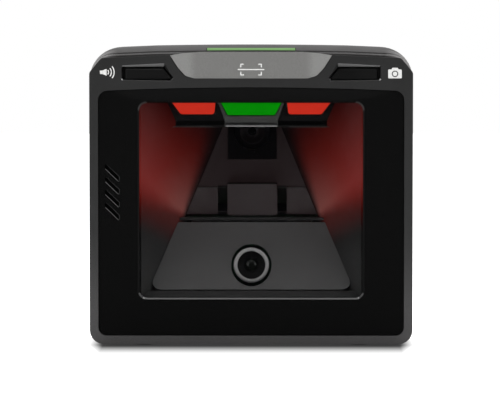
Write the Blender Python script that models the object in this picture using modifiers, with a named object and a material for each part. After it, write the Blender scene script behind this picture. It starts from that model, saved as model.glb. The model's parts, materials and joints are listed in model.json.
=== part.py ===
"""A compact counter-top barcode scanner that reads through an upright window.

The frame is metres, +Z up, with the origin at the middle of the rubber feet's underside.
The window faces -Y. All named dimensions below are millimetres; the helpers scale them.

Light path: the main imager hangs under the chamber's ceiling and looks down at a fold mirror
that leans back, so it sees out through the window. A second, colour camera looks straight out
through the sloping panel in front of the mirror.
"""

import math

import bmesh
import bpy
from mathutils import Matrix, Vector

MM = 0.001

# ---- driving dimensions (mm) ----
HALF_WIDTH = 75.0
FOOT_HEIGHT = 1.4
FRAME_TOP = 137.3
CROWN_TOP = 140.4
BROW_Y = -43.0
FRAME_Y = -40.0
PARTING_Y = -34.0
BACK_Y = 43.0
WALL = 2.4
GAP = 0.3

# The brow bulges forward between these half-widths.
BROW_HALF = 66.0
BROW_BULGE = FRAME_Y - BROW_Y

# Face plate and its window.
PLATE_Y = -39.4
PLATE_BACK_Y = -36.5
OPENING_HALF = 71.0
OPENING_BOTTOM = 5.3
ARCH_TOP = 120.8
ARCH_DROP = 1.6
ARCH_HALF = 66.8
WINDOW_HALF = 51.9
WINDOW_BOTTOM = 22.9
WINDOW_TOP = 113.5
WINDOW_RADIUS = 3.6
PANE_FRONT_Y = -37.1
PANE_BACK_Y = -35.3

# Optical chamber: upright side walls that close in towards the back.
CHAMBER_Y = -35.0
CHAMBER_TAPER = 0.597
CHAMBER_END_Y = 31.0
CHIN_FOOT = (-29.0, 26.0)
CHIN_TOP = (-7.0, 56.3)
MIRROR_FOOT = (-1.5, 58.6)
MIRROR_LEAN = 35.0
MIRROR_LENGTH = 55.5
CEILING_FRONT = (-6.0, 107.1)
CEILING_PITCH = 20.0

# Cameras.
IMAGER_AT = (20.4, 113.3)
IMAGER_HALF = (11.65, 13.7)
CAMERA_Y = -20.5
CAMERA_Z = 36.8
CAMERA_RING_R = 8.37

# Lamp bar.
LAMP_Y = -26.5
LAMP_BOTTOM = 101.8
LAMP_TOP = 118.0

# The bezel round the green lamp: its half width below, and where its sides start to open out.
BEZEL_HALF = 12.4
BEZEL_KNEE = 104.9
BEZEL_SLANT = 0.366

# Buttons and their switches (left-hand side; the right is a mirror image).
BUTTON_X = -48.5
BUTTON_Z = 127.0

# Speaker behind the face plate's slots.
SPEAKER_X = -63.3
SPEAKER_Z = 72.0

# Rear ports.
BAY_HALF = 25.7
BAY_BOTTOM = 12.3
BAY_TOP = 31.3
BAY_INNER_Y = 29.0
JACK_FACE_Y = 31.6
BOARD_TOP = 13.6

# Each socket's centre in X, its width and height, and the widths of its mouth and latch notch.
HOST_SOCKET = (-14.0, 15.8, 13.2, 12.0, 6.8)
AUX_SOCKET = (13.0, 12.6, 12.4, 8.6, 5.0)

FOOT_AT = ((-50.5, -22.5), (50.5, -22.5), (-48.5, 20.5), (48.5, 20.5))
BASE_SCREW_AT = ((-40.0, -14.0), (40.0, -14.0), (-37.0, 12.0), (37.0, 12.0))
BASE_PLATE = (-58.1, -30.1, 58.1, 28.1)
REAR_SCREW_AT = ((-32.0, 75.0), (32.0, 75.0))

# name: (colour, roughness, metallic, alpha)
MATERIALS = {
    "frame_plastic": ((0.040, 0.040, 0.040), 0.55, 0.0, 1.0),
    "badge_paint": ((0.180, 0.178, 0.172), 0.38, 0.6, 1.0),
    "gloss_black": ((0.005, 0.005, 0.005), 0.08, 0.0, 1.0),
    "window_glass": ((0.60, 0.60, 0.60), 0.02, 0.0, 0.15),
    "housing_plastic": ((0.055, 0.052, 0.052), 0.5, 0.0, 1.0),
    "rubber": ((0.02, 0.02, 0.02), 0.9, 0.0, 1.0),
    "green_lens": ((0.01, 0.25, 0.005), 0.3, 0.0, 1.0),
    "red_lens": ((0.50, 0.02, 0.01), 0.3, 0.0, 1.0),
    "chamber_plastic": ((0.045, 0.042, 0.042), 0.6, 0.0, 1.0),
    "mirror_silver": ((0.80, 0.80, 0.80), 0.02, 1.0, 1.0),
    "satin_black": ((0.008, 0.008, 0.008), 0.4, 0.0, 1.0),
    "ring_metal": ((0.16, 0.16, 0.16), 0.35, 0.8, 1.0),
    "lens_glass": ((0.02, 0.03, 0.02), 0.02, 0.0, 1.0),
    "circuit_board": ((0.01, 0.09, 0.03), 0.5, 0.0, 1.0),
    "steel": ((0.45, 0.45, 0.45), 0.3, 1.0, 1.0),
    "flex_film": ((0.35, 0.14, 0.02), 0.4, 0.0, 1.0),
}

scanner = None
cutters = None


# ---- helpers ----
def clear_scene():
    for obj in list(bpy.data.objects):
        bpy.data.objects.remove(obj)


def make_collections():
    global scanner, cutters
    scanner = bpy.data.collections.new("window_scanner")
    cutters = bpy.data.collections.new("cutters")
    for collection in (scanner, cutters):
        bpy.context.scene.collection.children.link(collection)


def make_material(name):
    material = bpy.data.materials.get(name)
    if material:
        return material
    colour, roughness, metallic, alpha = MATERIALS[name]
    material = bpy.data.materials.new(name)
    material.use_nodes = True
    shader = material.node_tree.nodes["Principled BSDF"]
    shader.inputs["Base Color"].default_value = (*colour, 1.0)
    shader.inputs["Roughness"].default_value = roughness
    shader.inputs["Metallic"].default_value = metallic
    shader.inputs["Alpha"].default_value = alpha
    return material


def add_object(name, mesh, material, matrix=None):
    """A part if it has a material, and otherwise a cutter."""
    obj = bpy.data.objects.new(name, mesh)
    obj.matrix_world = matrix or Matrix.Identity(4)
    if material:
        obj.data.materials.append(make_material(material))
        scanner.objects.link(obj)
        return obj
    cutters.objects.link(obj)
    obj.hide_render = True
    obj.display_type = "WIRE"
    return obj


def boolean(target, other, operation):
    modifier = target.modifiers.new(other.name, "BOOLEAN")
    modifier.operation = operation
    modifier.object = other
    modifier.solver = "EXACT"
    return target


def cut(target, *others):
    for other in others:
        boolean(target, other, "DIFFERENCE")
    return target


def join(target, *others):
    for other in others:
        boolean(target, other, "UNION")
    return target


def keep_inside(target, other):
    return boolean(target, other, "INTERSECT")


def evaluated_mesh(obj):
    graph = bpy.context.evaluated_depsgraph_get()
    return bpy.data.meshes.new_from_object(obj.evaluated_get(graph), depsgraph=graph)


def mirrored(obj, name):
    """The same piece on the other side of the middle plane."""
    mesh = evaluated_mesh(obj)
    mesh.transform(Matrix.Scale(-1, 4, (1, 0, 0)) @ obj.matrix_world)
    mesh.flip_normals()
    copy = bpy.data.objects.new(name, mesh)
    target = scanner if obj.name in scanner.objects else cutters
    target.objects.link(copy)
    copy.hide_render = obj.hide_render
    copy.display_type = obj.display_type
    return copy


def rounded(points, segments=5):
    """An outline from (x, y, radius) corners, each corner turned into an arc."""
    outline = []
    count = len(points)
    for i, (x, y, radius) in enumerate(points):
        corner = Vector((x, y))
        if radius <= 0:
            outline.append((x, y))
            continue
        before = (Vector(points[i - 1][:2]) - corner).normalized()
        after = (Vector(points[(i + 1) % count][:2]) - corner).normalized()
        half = before.angle(after) / 2
        back = radius / math.tan(half)
        centre = corner + (before + after).normalized() * (radius / math.sin(half))
        start = corner + before * back - centre
        sweep = start.angle_signed(corner + after * back - centre)
        for k in range(segments + 1):
            turn = Matrix.Rotation(-sweep * k / segments, 2)
            point = centre + turn @ start
            outline.append((point.x, point.y))
    return outline


def rectangle(x0, y0, x1, y1, radius=0.0, segments=5):
    corners = [(x0, y0, radius), (x1, y0, radius), (x1, y1, radius), (x0, y1, radius)]
    return rounded(corners, segments)


def circle(x, y, radius, steps=32):
    turns = [2 * math.pi * k / steps for k in range(steps)]
    return [(x + radius * math.cos(a), y + radius * math.sin(a)) for a in turns]


def stadium(x, y, half_x, half_y, segments=7):
    """An upright slot shape with round ends."""
    return rectangle(x - half_x, y - half_y, x + half_x, y + half_y, half_x * 0.999, segments)


def facing_front(y=0.0):
    """Local X, Y are the row's X, Z, and local Z points to the front."""
    return Matrix.Translation((0, y * MM, 0)) @ Matrix.Rotation(math.pi / 2, 4, "X")


def facing_side():
    """Local X, Y are the row's Y, Z, and local Z is the row's X."""
    return Matrix.Rotation(math.pi / 2, 4, "Z") @ Matrix.Rotation(math.pi / 2, 4, "X")


def tilted(y, z, degrees):
    """Turned about X at (y, z): 90 faces the front, 180 + n faces down and back."""
    return Matrix.Translation((0, y * MM, z * MM)) @ Matrix.Rotation(math.radians(degrees), 4, "X")


def flat(name, loops, low, high, material=None, matrix=None):
    """A plate between two local heights, from an outline and any holes in it."""
    curve = bpy.data.curves.new(name, "CURVE")
    curve.dimensions = "2D"
    curve.fill_mode = "BOTH"
    curve.extrude = (high - low) / 2 * MM
    for loop in loops:
        spline = curve.splines.new("POLY")
        spline.points.add(len(loop) - 1)
        for point, (x, y) in zip(spline.points, loop):
            point.co = (x * MM, y * MM, 0, 1)
        spline.use_cyclic_u = True
    guide = bpy.data.objects.new(name + "_outline", curve)
    cutters.objects.link(guide)
    mesh = evaluated_mesh(guide)
    bpy.data.objects.remove(guide)
    work = bmesh.new()
    work.from_mesh(mesh)
    bmesh.ops.remove_doubles(work, verts=work.verts, dist=1e-6)
    bmesh.ops.recalc_face_normals(work, faces=work.faces)
    work.to_mesh(mesh)
    work.free()
    place = (matrix or Matrix.Identity(4)) @ Matrix.Translation((0, 0, (low + high) / 2 * MM))
    return add_object(name, mesh, material, place)


def slab(name, loops, front, back, material=None):
    """A plate that faces the front, between two Y values."""
    return flat(name, loops, -back, -front, material, facing_front())


def block(name, low, high, material=None):
    """An upright box between two corners."""
    low, high = Vector(low) * MM, Vector(high) * MM
    mesh = bpy.data.meshes.new(name)
    work = bmesh.new()
    bmesh.ops.create_cube(work, size=1.0, matrix=Matrix.Diagonal((*(high - low), 1)))
    work.to_mesh(mesh)
    work.free()
    return add_object(name, mesh, material, Matrix.Translation((low + high) / 2))


def rod(name, radius, low, high, material=None, matrix=None, steps=24):
    """A round bar along local Z."""
    mesh = bpy.data.meshes.new(name)
    work = bmesh.new()
    bmesh.ops.create_cone(
        work,
        cap_ends=True,
        segments=steps,
        radius1=radius * MM,
        radius2=radius * MM,
        depth=(high - low) * MM,
    )
    work.to_mesh(mesh)
    work.free()
    place = (matrix or Matrix.Identity(4)) @ Matrix.Translation((0, 0, (low + high) / 2 * MM))
    return add_object(name, mesh, material, place)


def turned(name, profile, material, matrix=None, steps=32):
    """A round piece from (radius, height) points that run down its outer side."""
    mesh = bpy.data.meshes.new(name)
    points = [(r * MM, 0, h * MM) for r, h in profile]
    mesh.from_pydata(points, [(i, i + 1) for i in range(len(points) - 1)], [])
    obj = add_object(name, mesh, material, matrix)
    screw = obj.modifiers.new("turn", "SCREW")
    screw.axis = "Z"
    screw.steps = steps
    screw.render_steps = steps
    screw.use_merge_vertices = True
    screw.merge_threshold = 1e-6
    return obj


def loft(name, rings, material=None, close_start=True, close_end=True):
    """A skin through rings of equally many points, given as (x, y, z)."""
    work = bmesh.new()
    rows = [[work.verts.new(Vector(p) * MM) for p in ring] for ring in rings]
    for lower, upper in zip(rows, rows[1:]):
        for i in range(len(lower)):
            j = (i + 1) % len(lower)
            work.faces.new((lower[i], lower[j], upper[j], upper[i]))
    if close_start:
        work.faces.new(rows[0])
    if close_end:
        work.faces.new(rows[-1])
    bmesh.ops.recalc_face_normals(work, faces=work.faces)
    mesh = bpy.data.meshes.new(name)
    work.to_mesh(mesh)
    work.free()
    return add_object(name, mesh, material)


def taper(name, front_loop, front_y, back_loop, back_y, material=None):
    """A plug that narrows from one outline to another of as many points."""
    rings = [[(x, front_y, z) for x, z in front_loop], [(x, back_y, z) for x, z in back_loop]]
    return loft(name, rings, material)


# ---- shared shapes ----
def brow_y(x, depth=0.0):
    """The brow's front surface, or the surface that far behind it."""
    share = min(1.0, abs(x) / BROW_HALF)
    return FRAME_Y - BROW_BULGE * (1 - share * share) + depth


def brow_layer(name, front_depth, back_depth):
    """A prism between two depths behind the brow's front surface, in plan."""
    steps = 24
    xs = [-82.0] + [BROW_HALF * (2 * k / steps - 1) for k in range(steps + 1)] + [82.0]
    near = [(x, -50.0 if front_depth is None else brow_y(x, front_depth)) for x in xs]
    far = [(x, -30.0 if back_depth is None else brow_y(x, back_depth)) for x in xs]
    return flat(name, [near + far[::-1]], -5, 150)


def top_line(inset=0.0):
    """The frame's top edge, from right to left, rising behind the badge."""
    right = [(69.4, 134.3, 2.0), (37.7, 135.7, 2.0), (31.7, 136.7, 4.0), (24.0, FRAME_TOP, 6.0)]
    left = [(-x, z, r) for x, z, r in reversed(right)]
    return [(x, z - inset, r) for x, z, r in right + left]


def frame_outline(inset=0.0):
    side = HALF_WIDTH - inset
    low = FOOT_HEIGHT + inset
    radius = 6.5 - inset
    corners = [(-side, low, radius), (side, low, radius), (side, 127.6 - inset * 0.4, 2.5)]
    corners += [(x * (1 - inset / HALF_WIDTH), z, r) for x, z, r in top_line(inset)]
    corners.append((-side, 127.6 - inset * 0.4, 2.5))
    return rounded(corners)


def arch_z(x):
    return ARCH_TOP - ARCH_DROP * (x / ARCH_HALF) ** 2


def opening_outline(inset=0.0):
    """The frame's opening, with its slightly arched top."""
    side = OPENING_HALF - inset
    low = OPENING_BOTTOM + inset
    corners = [(-side, low, 3.8 - inset), (side, low, 3.8 - inset)]
    corners.append((side, arch_z(side) - inset, 4.5 - inset))
    corners += [(x, arch_z(x) - inset, 0) for x in range(60, -61, -12)]
    corners.append((-side, arch_z(side) - inset, 4.5 - inset))
    return rounded(corners)


def window_outline(grow=0.0):
    return rectangle(
        -WINDOW_HALF - grow,
        WINDOW_BOTTOM - grow,
        WINDOW_HALF + grow,
        WINDOW_TOP + grow,
        WINDOW_RADIUS + grow * 0.6,
    )


def chamber_half(y, inset=0.0):
    return WINDOW_HALF - CHAMBER_TAPER * (y - CHAMBER_Y) - inset


def chamber_plan(name, inset=0.35):
    """The chamber's inside in plan, which trims each plate that meets the side walls."""
    front, back = CHAMBER_Y - 1, CHAMBER_END_Y - 0.5
    near, far = chamber_half(front, inset), chamber_half(back, inset)
    return flat(name, [[(-near, front), (near, front), (far, back), (-far, back)]], 5, 150)


# ---- outer casing ----
def button_hole():
    return rounded(
        [
            (-59.8, 124.2, 0.6),
            (-37.1, 124.2, 0.6),
            (-36.5, 125.2, 0.8),
            (-40.4, 130.3, 1.0),
            (-59.8, 130.3, 0.6),
        ],
        3,
    )


def button_recess(grow):
    """The hole's outline, moved out by the recess's sloping sides."""
    return rounded(
        [
            (-59.8 - grow * 0.6, 124.2 - grow * 0.35, 0.6),
            (-37.1 + grow * 0.3, 124.2 - grow * 0.35, 0.6),
            (-36.5 + grow * 0.4, 125.2, 0.8),
            (-40.4 + grow * 0.4, 130.3 + grow, 1.0),
            (-59.8 - grow * 0.6, 130.3 + grow, 0.6),
        ],
        3,
    )


def badge_outline(inset=0.0):
    """The silver panel in the brow, open to the frame's top edge."""
    side = [(37.9, 142.0, 0), (37.9, 135.6, 0), (33.9, 129.4, 3.0), (30.6, 125.9, 3.0), (26.5, 124.7, 3.0)]
    right = [(x - inset, z + inset * 0.6, r) for x, z, r in side]
    left = [(-x, z, r) for x, z, r in reversed(right)]
    return rounded(right[::-1] + left[::-1], 4)


def make_front_bezel():
    bezel = slab("front_bezel", [frame_outline()], BROW_Y - 1, PARTING_Y, "frame_plastic")
    below_brow = block("bezel_front_cut", (-90, -60, -10), (90, FRAME_Y, 117.5))
    ahead_of_brow = brow_layer("brow_front_cut", None, 0.0)
    opening = slab("bezel_opening_cut", [opening_outline()], -50, -30)
    pocket = slab("bezel_pocket_cut", [frame_outline(WALL)], -36.9, -30)
    brow_corners = [(66, 123.2), (66, 131.6), (37, 133.0), (24, 134.8)]
    brow_loop = brow_corners + [(-x, z) for x, z in reversed(brow_corners)]
    brow_pocket = slab("brow_pocket_cut", [brow_loop], -48, -36)
    keep_inside(brow_pocket, brow_layer("brow_pocket_layer", WALL, None))
    badge_pocket = slab("badge_pocket_cut", [badge_outline()], -48, -36)
    keep_inside(badge_pocket, brow_layer("badge_pocket_layer", -4.0, 1.4))
    recess = taper("button_recess_cut", button_recess(4.0), -45.0, button_recess(0.0), -39.8)
    through = slab("button_hole_cut", [button_hole()], -41.0, -37.0)
    cut(bezel, below_brow, ahead_of_brow, opening, pocket, brow_pocket, badge_pocket)
    cut(bezel, recess, mirrored(recess, "button_recess_cut_right"))
    cut(bezel, through, mirrored(through, "button_hole_cut_right"))


def make_brow_badge():
    badge = slab("brow_badge", [badge_outline(0.3)], -48, -36, "badge_paint")
    keep_inside(badge, brow_layer("badge_layer", 0.1, 1.1))
    keep_inside(badge, slab("badge_top_trim", [frame_outline(0.15)], -50, -30))


def make_face_plate():
    plate = slab("face_plate", [opening_outline(GAP)], PLATE_Y, PLATE_BACK_Y, "gloss_black")
    flange = slab("plate_flange", [rectangle(-72.2, 4.1, 72.2, 122.8, 4.5)], -36.6, -35.2)
    steps = 20
    reach = BROW_HALF - 1.5
    rings = []
    for k in range(steps + 1):
        x = reach * (2 * k / steps - 1)
        low_x = x * (WINDOW_HALF + 1.5) / reach
        top = arch_z(x) - GAP - 0.02
        front = min(PLATE_Y - 0.05, brow_y(x, 0.6))
        low = WINDOW_TOP + 1.1
        inside = PLATE_Y + 0.05
        rings.append([(low_x, -37.6, low), (low_x, inside, low), (x, front, top), (x, -37.6, top)])
    join(plate, flange, loft("brow_facet", rings))
    chamfer = taper("window_chamfer_cut", window_outline(1.4), -40.2, window_outline(-0.35), -38.2)
    opening = slab("window_cut", [window_outline()], -45, -30)
    pane_seat = slab("pane_seat_cut", [window_outline(2.9)], -37.4, -30)
    cut(plate, chamfer, opening, pane_seat)
    for k in range(4):
        x, z = -64.4, 81.0 - 5.96 * k
        reach, half, fall = 3.4, 1.5, 3.15
        corners = [(x - reach, z + fall - half), (x + reach, z - fall - half)]
        corners += [(x + reach, z - fall + half), (x - reach, z + fall + half)]
        loop = rounded([(*corner, 0.5) for corner in corners], 3)
        cut(plate, slab(f"sound_slot_cut_{k}", [loop], -45, -30))


def make_window():
    slab("scan_window", [window_outline(2.6)], PANE_FRONT_Y, PANE_BACK_Y, "window_glass")
    loops = [window_outline(2.4), window_outline(0.6)]
    slab("window_gasket", loops, -35.0, -34.3, "rubber")


def base_outline(grow=0.0):
    left, front, right, back = BASE_PLATE
    return rectangle(left - grow, front - grow, right + grow, back + grow, 6.0 + grow)


# (y, half width, top, corner radius, foot radius)
HOUSING_SECTIONS = (
    (PARTING_Y + 0.05, 75.0, 137.2, 11.0, 6.5),
    (-31.0, 75.0, 138.6, 12.0, 6.5),
    (-26.0, 75.0, 139.8, 13.2, 6.5),
    (-16.0, 74.8, CROWN_TOP, 14.4, 6.5),
    (0.0, 74.0, 140.1, 15.6, 6.5),
    (14.0, 72.2, 138.0, 17.0, 6.5),
    (26.0, 68.8, 133.8, 18.4, 6.5),
    (34.0, 65.0, 129.0, 19.4, 6.5),
    (38.7, 61.9, 124.9, 19.7, 6.5),
    (41.5, 58.9, 121.2, 19.4, 6.2),
    (42.7, 56.5, 118.4, 18.8, 5.6),
    (BACK_Y, 54.3, 116.0, 18.0, 5.0),
)


def housing_ring(y, half, top, radius, foot_radius):
    """One closed section of the rear housing, with a slight crown across its top."""
    low = FOOT_HEIGHT + (0.0 if y < 41 else (y - 41) * 1.0)
    crown = [(half * k, top - 1.2 * k * k, 0.0) for k in (0.6, 0.3, 0.0, -0.3, -0.6)]
    corners = [(-half, low, foot_radius), (half, low, foot_radius)]
    corners += [(half, top - 1.7, radius), *crown, (-half, top - 1.7, radius)]
    return [(x, y, z) for x, z in rounded(corners, 6)]


def make_rear_housing():
    rings = [housing_ring(*section) for section in HOUSING_SECTIONS]
    housing = loft("rear_housing", rings, "housing_plastic", close_start=False)
    shell = housing.modifiers.new("wall", "SOLIDIFY")
    shell.thickness = WALL * MM
    shell.offset = -1
    shell.use_even_offset = True
    for k, (x, y) in enumerate(BASE_SCREW_AT):
        boss = rod(f"base_boss_{k}", 3.4, 2.9, 11.6, matrix=Matrix.Translation((x * MM, y * MM, 0)))
        join(housing, boss)
    plate_seat = flat("base_seat_cut", [base_outline(GAP)], -1, 2.75)
    ports = slab("port_cut", [rectangle(-26, 12.0, 26, 31.6, 2.3)], 30, 60)
    pipe_slot = block("pipe_slot_cut", (-20.8, -32.4, 130), (20.8, -29.6, 150))
    cut(housing, plate_seat, ports, pipe_slot)
    for k, (x, y) in enumerate(BASE_SCREW_AT):
        place = Matrix.Translation((x * MM, y * MM, 0))
        cut(housing, rod(f"base_bore_cut_{k}", 1.8, -1, 10.4, matrix=place, steps=16))
    for k, (x, z) in enumerate(REAR_SCREW_AT):
        place = Matrix.Translation((x * MM, 0, z * MM)) @ Matrix.Rotation(-math.pi / 2, 4, "X")
        seat = rod(f"rear_seat_cut_{k}", 3.4, 41.6, 50, matrix=place, steps=20)
        bore = rod(f"rear_bore_cut_{k}", 1.9, 30, 50, matrix=place, steps=16)
        cut(housing, seat, bore)
    for side in (-1, 1):
        for k in range(6):
            x = side * 15.5
            z = 56.0 + 6.5 * k
            vent = rectangle(x - 10.5, z, x + 10.5, z + 2.4, 1.19, 4)
            cut(housing, slab(f"vent_cut_{side}_{k}", [vent], 36, 60))


def make_base():
    holes = [circle(x, y, 6.6, 24) for x, y in FOOT_AT]
    holes += [circle(x, y, 2.0, 14) for x, y in BASE_SCREW_AT]
    flat("base_plate", [base_outline(), *holes], 1.5, 2.45, "steel")
    names = ("front_left", "front_right", "rear_left", "rear_right")
    for name, (x, y) in zip(names, FOOT_AT):
        profile = [(0, 2.45), (6.2, 2.45), (6.2, 0.5), (5.7, 0.0), (0, 0.0)]
        place = Matrix.Translation((x * MM, y * MM, 0))
        turned(f"foot_{name}", profile, "rubber", place, 24)


def screw_profile(head_radius, head, shank_radius, length):
    """A pan-head screw, head down, with its tip at the top."""
    tip = 0.5
    return [
        (0, length),
        (shank_radius - tip, length),
        (shank_radius, length - tip),
        (shank_radius, head),
        (head_radius, head),
        (head_radius, 0.35),
        (head_radius - 0.35, 0.0),
        (0.9, 0.0),
        (0.9, 0.7),
        (0, 0.7),
    ]


def make_screws():
    for k, (x, y) in enumerate(BASE_SCREW_AT):
        place = Matrix.Translation((x * MM, y * MM, 0.2 * MM))
        turned(f"base_screw_{k + 1}", screw_profile(2.9, 1.0, 1.4, 9.6), "steel", place, 14)
    for k, (x, z) in enumerate(REAR_SCREW_AT):
        place = Matrix.Translation((x * MM, 42.9 * MM, z * MM)) @ Matrix.Rotation(math.pi / 2, 4, "X")
        turned(f"rear_screw_{k + 1}", screw_profile(2.9, 1.0, 1.4, 10.0), "steel", place, 14)


def make_status_pipe():
    """A light pipe that shows as a thin line just behind the frame's top edge."""
    section = [(-32.1, 134.2), (-29.9, 134.2), (-29.9, 138.95), (-32.1, 138.15)]
    flat("status_light_pipe", [section], -20.5, 20.5, "green_lens", facing_side())


# ---- buttons and switches ----
def make_buttons():
    """The left button with its switch, then the right one as its mirror image."""
    cap_loop = rounded(
        [
            (-58.1, 124.6, 0.4),
            (-37.4, 124.6, 0.4),
            (-37.1, 125.1, 0.5),
            (-40.6, 129.3, 1.4),
            (-58.1, 129.3, 0.5),
        ],
        4,
    )
    cap = slab("volume_button", [cap_loop], -46, -37.5, "satin_black")
    keep_inside(cap, brow_layer("button_layer", 0.5, None))
    lip_loop = rectangle(-60.6, 123.9, -36.2, 130.9, 0.8, 3)
    lip = slab("button_lip", [lip_loop], -37.7, -36.7)
    stem = block("button_stem", (BUTTON_X - 2, -36.9, BUTTON_Z - 2), (BUTTON_X + 2, -34.9, BUTTON_Z + 2))
    join(cap, lip, stem)
    place = Matrix.Translation((BUTTON_X * MM, 0, BUTTON_Z * MM)) @ facing_front()
    plunger = turned(
        "volume_plunger",
        [(0, 34.6), (1.45, 34.6), (1.45, 32.5), (2.1, 32.5), (2.1, 32.1), (0, 32.1)],
        "satin_black",
        place,
        20,
    )
    body = slab(
        "volume_switch",
        [rectangle(BUTTON_X - 3, BUTTON_Z - 3, BUTTON_X + 3, BUTTON_Z + 3, 0.4, 2)],
        -33.4,
        -30.3,
        "steel",
    )
    narrow = rod("switch_bore", 1.8, 32.0, 36.0, matrix=place, steps=20)
    wide = rod("switch_chamber", 2.4, 31.0, 32.8, matrix=place, steps=20)
    cut(body, wide, narrow)
    for left, right in (
        (cap, "camera_button"),
        (plunger, "camera_plunger"),
        (body, "camera_switch"),
    ):
        mirrored(left, right)


def make_button_board():
    slab("button_board", [rectangle(-62, 122.0, 62, 132.6, 1.5, 3)], -30.0, -28.4, "circuit_board")
    block("status_led", (-18.0, -31.9, 129.8), (18.0, -30.3, 132.9), "satin_black")


# ---- optical chamber ----
def make_chamber_walls():
    """Upright plates from the window's sides to beside the mirror's top."""
    run = CHAMBER_END_Y - (PARTING_Y + 0.1)
    length = run * math.hypot(1, CHAMBER_TAPER)
    start_x = chamber_half(PARTING_Y + 0.1)
    heading = math.atan2(1, -CHAMBER_TAPER)
    place = (
        Matrix.Translation((start_x * MM, (PARTING_Y + 0.1) * MM, 0))
        @ Matrix.Rotation(heading, 4, "Z")
        @ Matrix.Rotation(math.pi / 2, 4, "X")
    )
    outline = [(0, 21.0), (14, 21.0), (length, 92.0), (length, 119.0), (0, 119.0)]
    wall = flat("chamber_wall_right", [outline], 0.0, 1.6, "chamber_plastic", place)
    mirrored(wall, "chamber_wall_left")


def make_chamber_front():
    """The sill under the window and the sloping panel that the colour camera looks through."""
    trim = chamber_plan("chamber_trim")
    sill_y, sill_z = -33.8, 23.0
    rise = math.degrees(math.atan2(CHIN_FOOT[1] - 0.5 - sill_z, CHIN_FOOT[0] - 0.4 - sill_y))
    sill_length = math.hypot(CHIN_FOOT[0] - 0.4 - sill_y, CHIN_FOOT[1] - 0.5 - sill_z)
    sill_loop = rectangle(-55, 0, 55, sill_length)
    sill = flat("chamber_sill", [sill_loop], -1.5, 0.0, "chamber_plastic", tilted(sill_y, sill_z, rise))
    keep_inside(sill, trim)

    run, climb = CHIN_TOP[0] - CHIN_FOOT[0], CHIN_TOP[1] - CHIN_FOOT[1]
    length = math.hypot(run, climb)
    lean = math.degrees(math.atan2(run, climb))
    foot, top = chamber_half(CHIN_FOOT[0], 0.4), chamber_half(CHIN_TOP[0], 0.4)
    corners = [(-foot, 0, 4.0), (foot, 0, 4.0), (top, length, 0), (-top, length, 0)]
    chin = flat(
        "chin_panel",
        [rounded(corners)],
        -2.2,
        0.0,
        "chamber_plastic",
        tilted(*CHIN_FOOT, 90 - lean),
    )
    keep_inside(chin, trim)
    bore = rod("camera_bore_cut", 9.5, -10, 40, matrix=camera_place(), steps=40)
    cut(chin, bore)
    return trim


def make_mirror(trim):
    place = tilted(*MIRROR_FOOT, 90 - MIRROR_LEAN)
    glass_loop = rectangle(-45, 0, 45, MIRROR_LENGTH)
    mirror = flat("fold_mirror", [glass_loop], -2.0, 0.0, "mirror_silver", place)
    keep_inside(mirror, trim)
    bar = block("mirror_retainer", (-45, -6.0, 57.0), (45, -1.9, 58.4), "chamber_plastic")
    keep_inside(bar, trim)
    carrier = flat(
        "mirror_carrier",
        [rectangle(-12, 3, 12, MIRROR_LENGTH - 3, 1.5, 3)],
        -5.0,
        -2.3,
        "satin_black",
        place,
    )
    rib = flat("carrier_rib", [rectangle(-1.2, 6, 1.2, MIRROR_LENGTH - 8)], -9.0, -4.5, None, place)
    join(carrier, rib)


def make_ceiling(trim):
    """The tilted roof of the chamber, notched at the back for the imager."""
    pitch = math.radians(CEILING_PITCH)
    back = (CHAMBER_END_Y - CEILING_FRONT[0]) / math.cos(pitch)
    run, climb = IMAGER_AT[0] - CEILING_FRONT[0], IMAGER_AT[1] - CEILING_FRONT[1]
    notch = run * math.cos(pitch) + climb * math.sin(pitch) - IMAGER_HALF[1] - GAP
    loop = [(-45, 0), (45, 0), (45, -back), (12.0, -back), (12.0, -notch)]
    loop += [(-12.0, -notch), (-12.0, -back), (-45, -back)]
    place = tilted(*CEILING_FRONT, 180 + CEILING_PITCH)
    ceiling = flat("chamber_ceiling", [loop], -2.0, 0.0, "chamber_plastic", place)
    keep_inside(ceiling, trim)


# ---- cameras ----
def camera_place():
    """Local Z points to the front, along the colour camera's axis, from its trim ring."""
    return Matrix.Translation((0, CAMERA_Y * MM, CAMERA_Z * MM)) @ facing_front()


def make_colour_camera():
    place = camera_place()
    barrel = [
        (0, -3.4),
        (3.3, -3.4),
        (6.2, -1.1),
        (8.0, -1.1),
        (8.0, -13.0),
        (0, -13.0),
    ]
    turned("camera_barrel", barrel, "satin_black", place, 36)
    lens = [(0, -1.6), (1.2, -1.75), (2.2, -2.15), (2.9, -2.8), (2.9, -3.1), (0, -3.1)]
    turned("camera_lens", lens, "lens_glass", place, 24)
    ring = flat(
        "camera_trim_ring",
        [circle(0, 0, CAMERA_RING_R, 36), circle(0, 0, 6.6, 36)],
        -0.8,
        0.0,
        "ring_metal",
        place,
    )
    for k in range(6):
        turn = Matrix.Rotation(math.radians(53.6 + 60 * k), 4, "Z")
        tab = flat(f"ring_tab_{k}", [rectangle(8.0, -0.35, 9.1, 0.35)], -0.8, -0.1, None, place @ turn)
        join(ring, tab)
    rear = CAMERA_Y + 13.3
    board_loop = rectangle(-11, CAMERA_Z - 11, 11, CAMERA_Z + 9, 1, 3)
    slab("camera_board", [board_loop], rear, rear + 1.6, "circuit_board")


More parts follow.
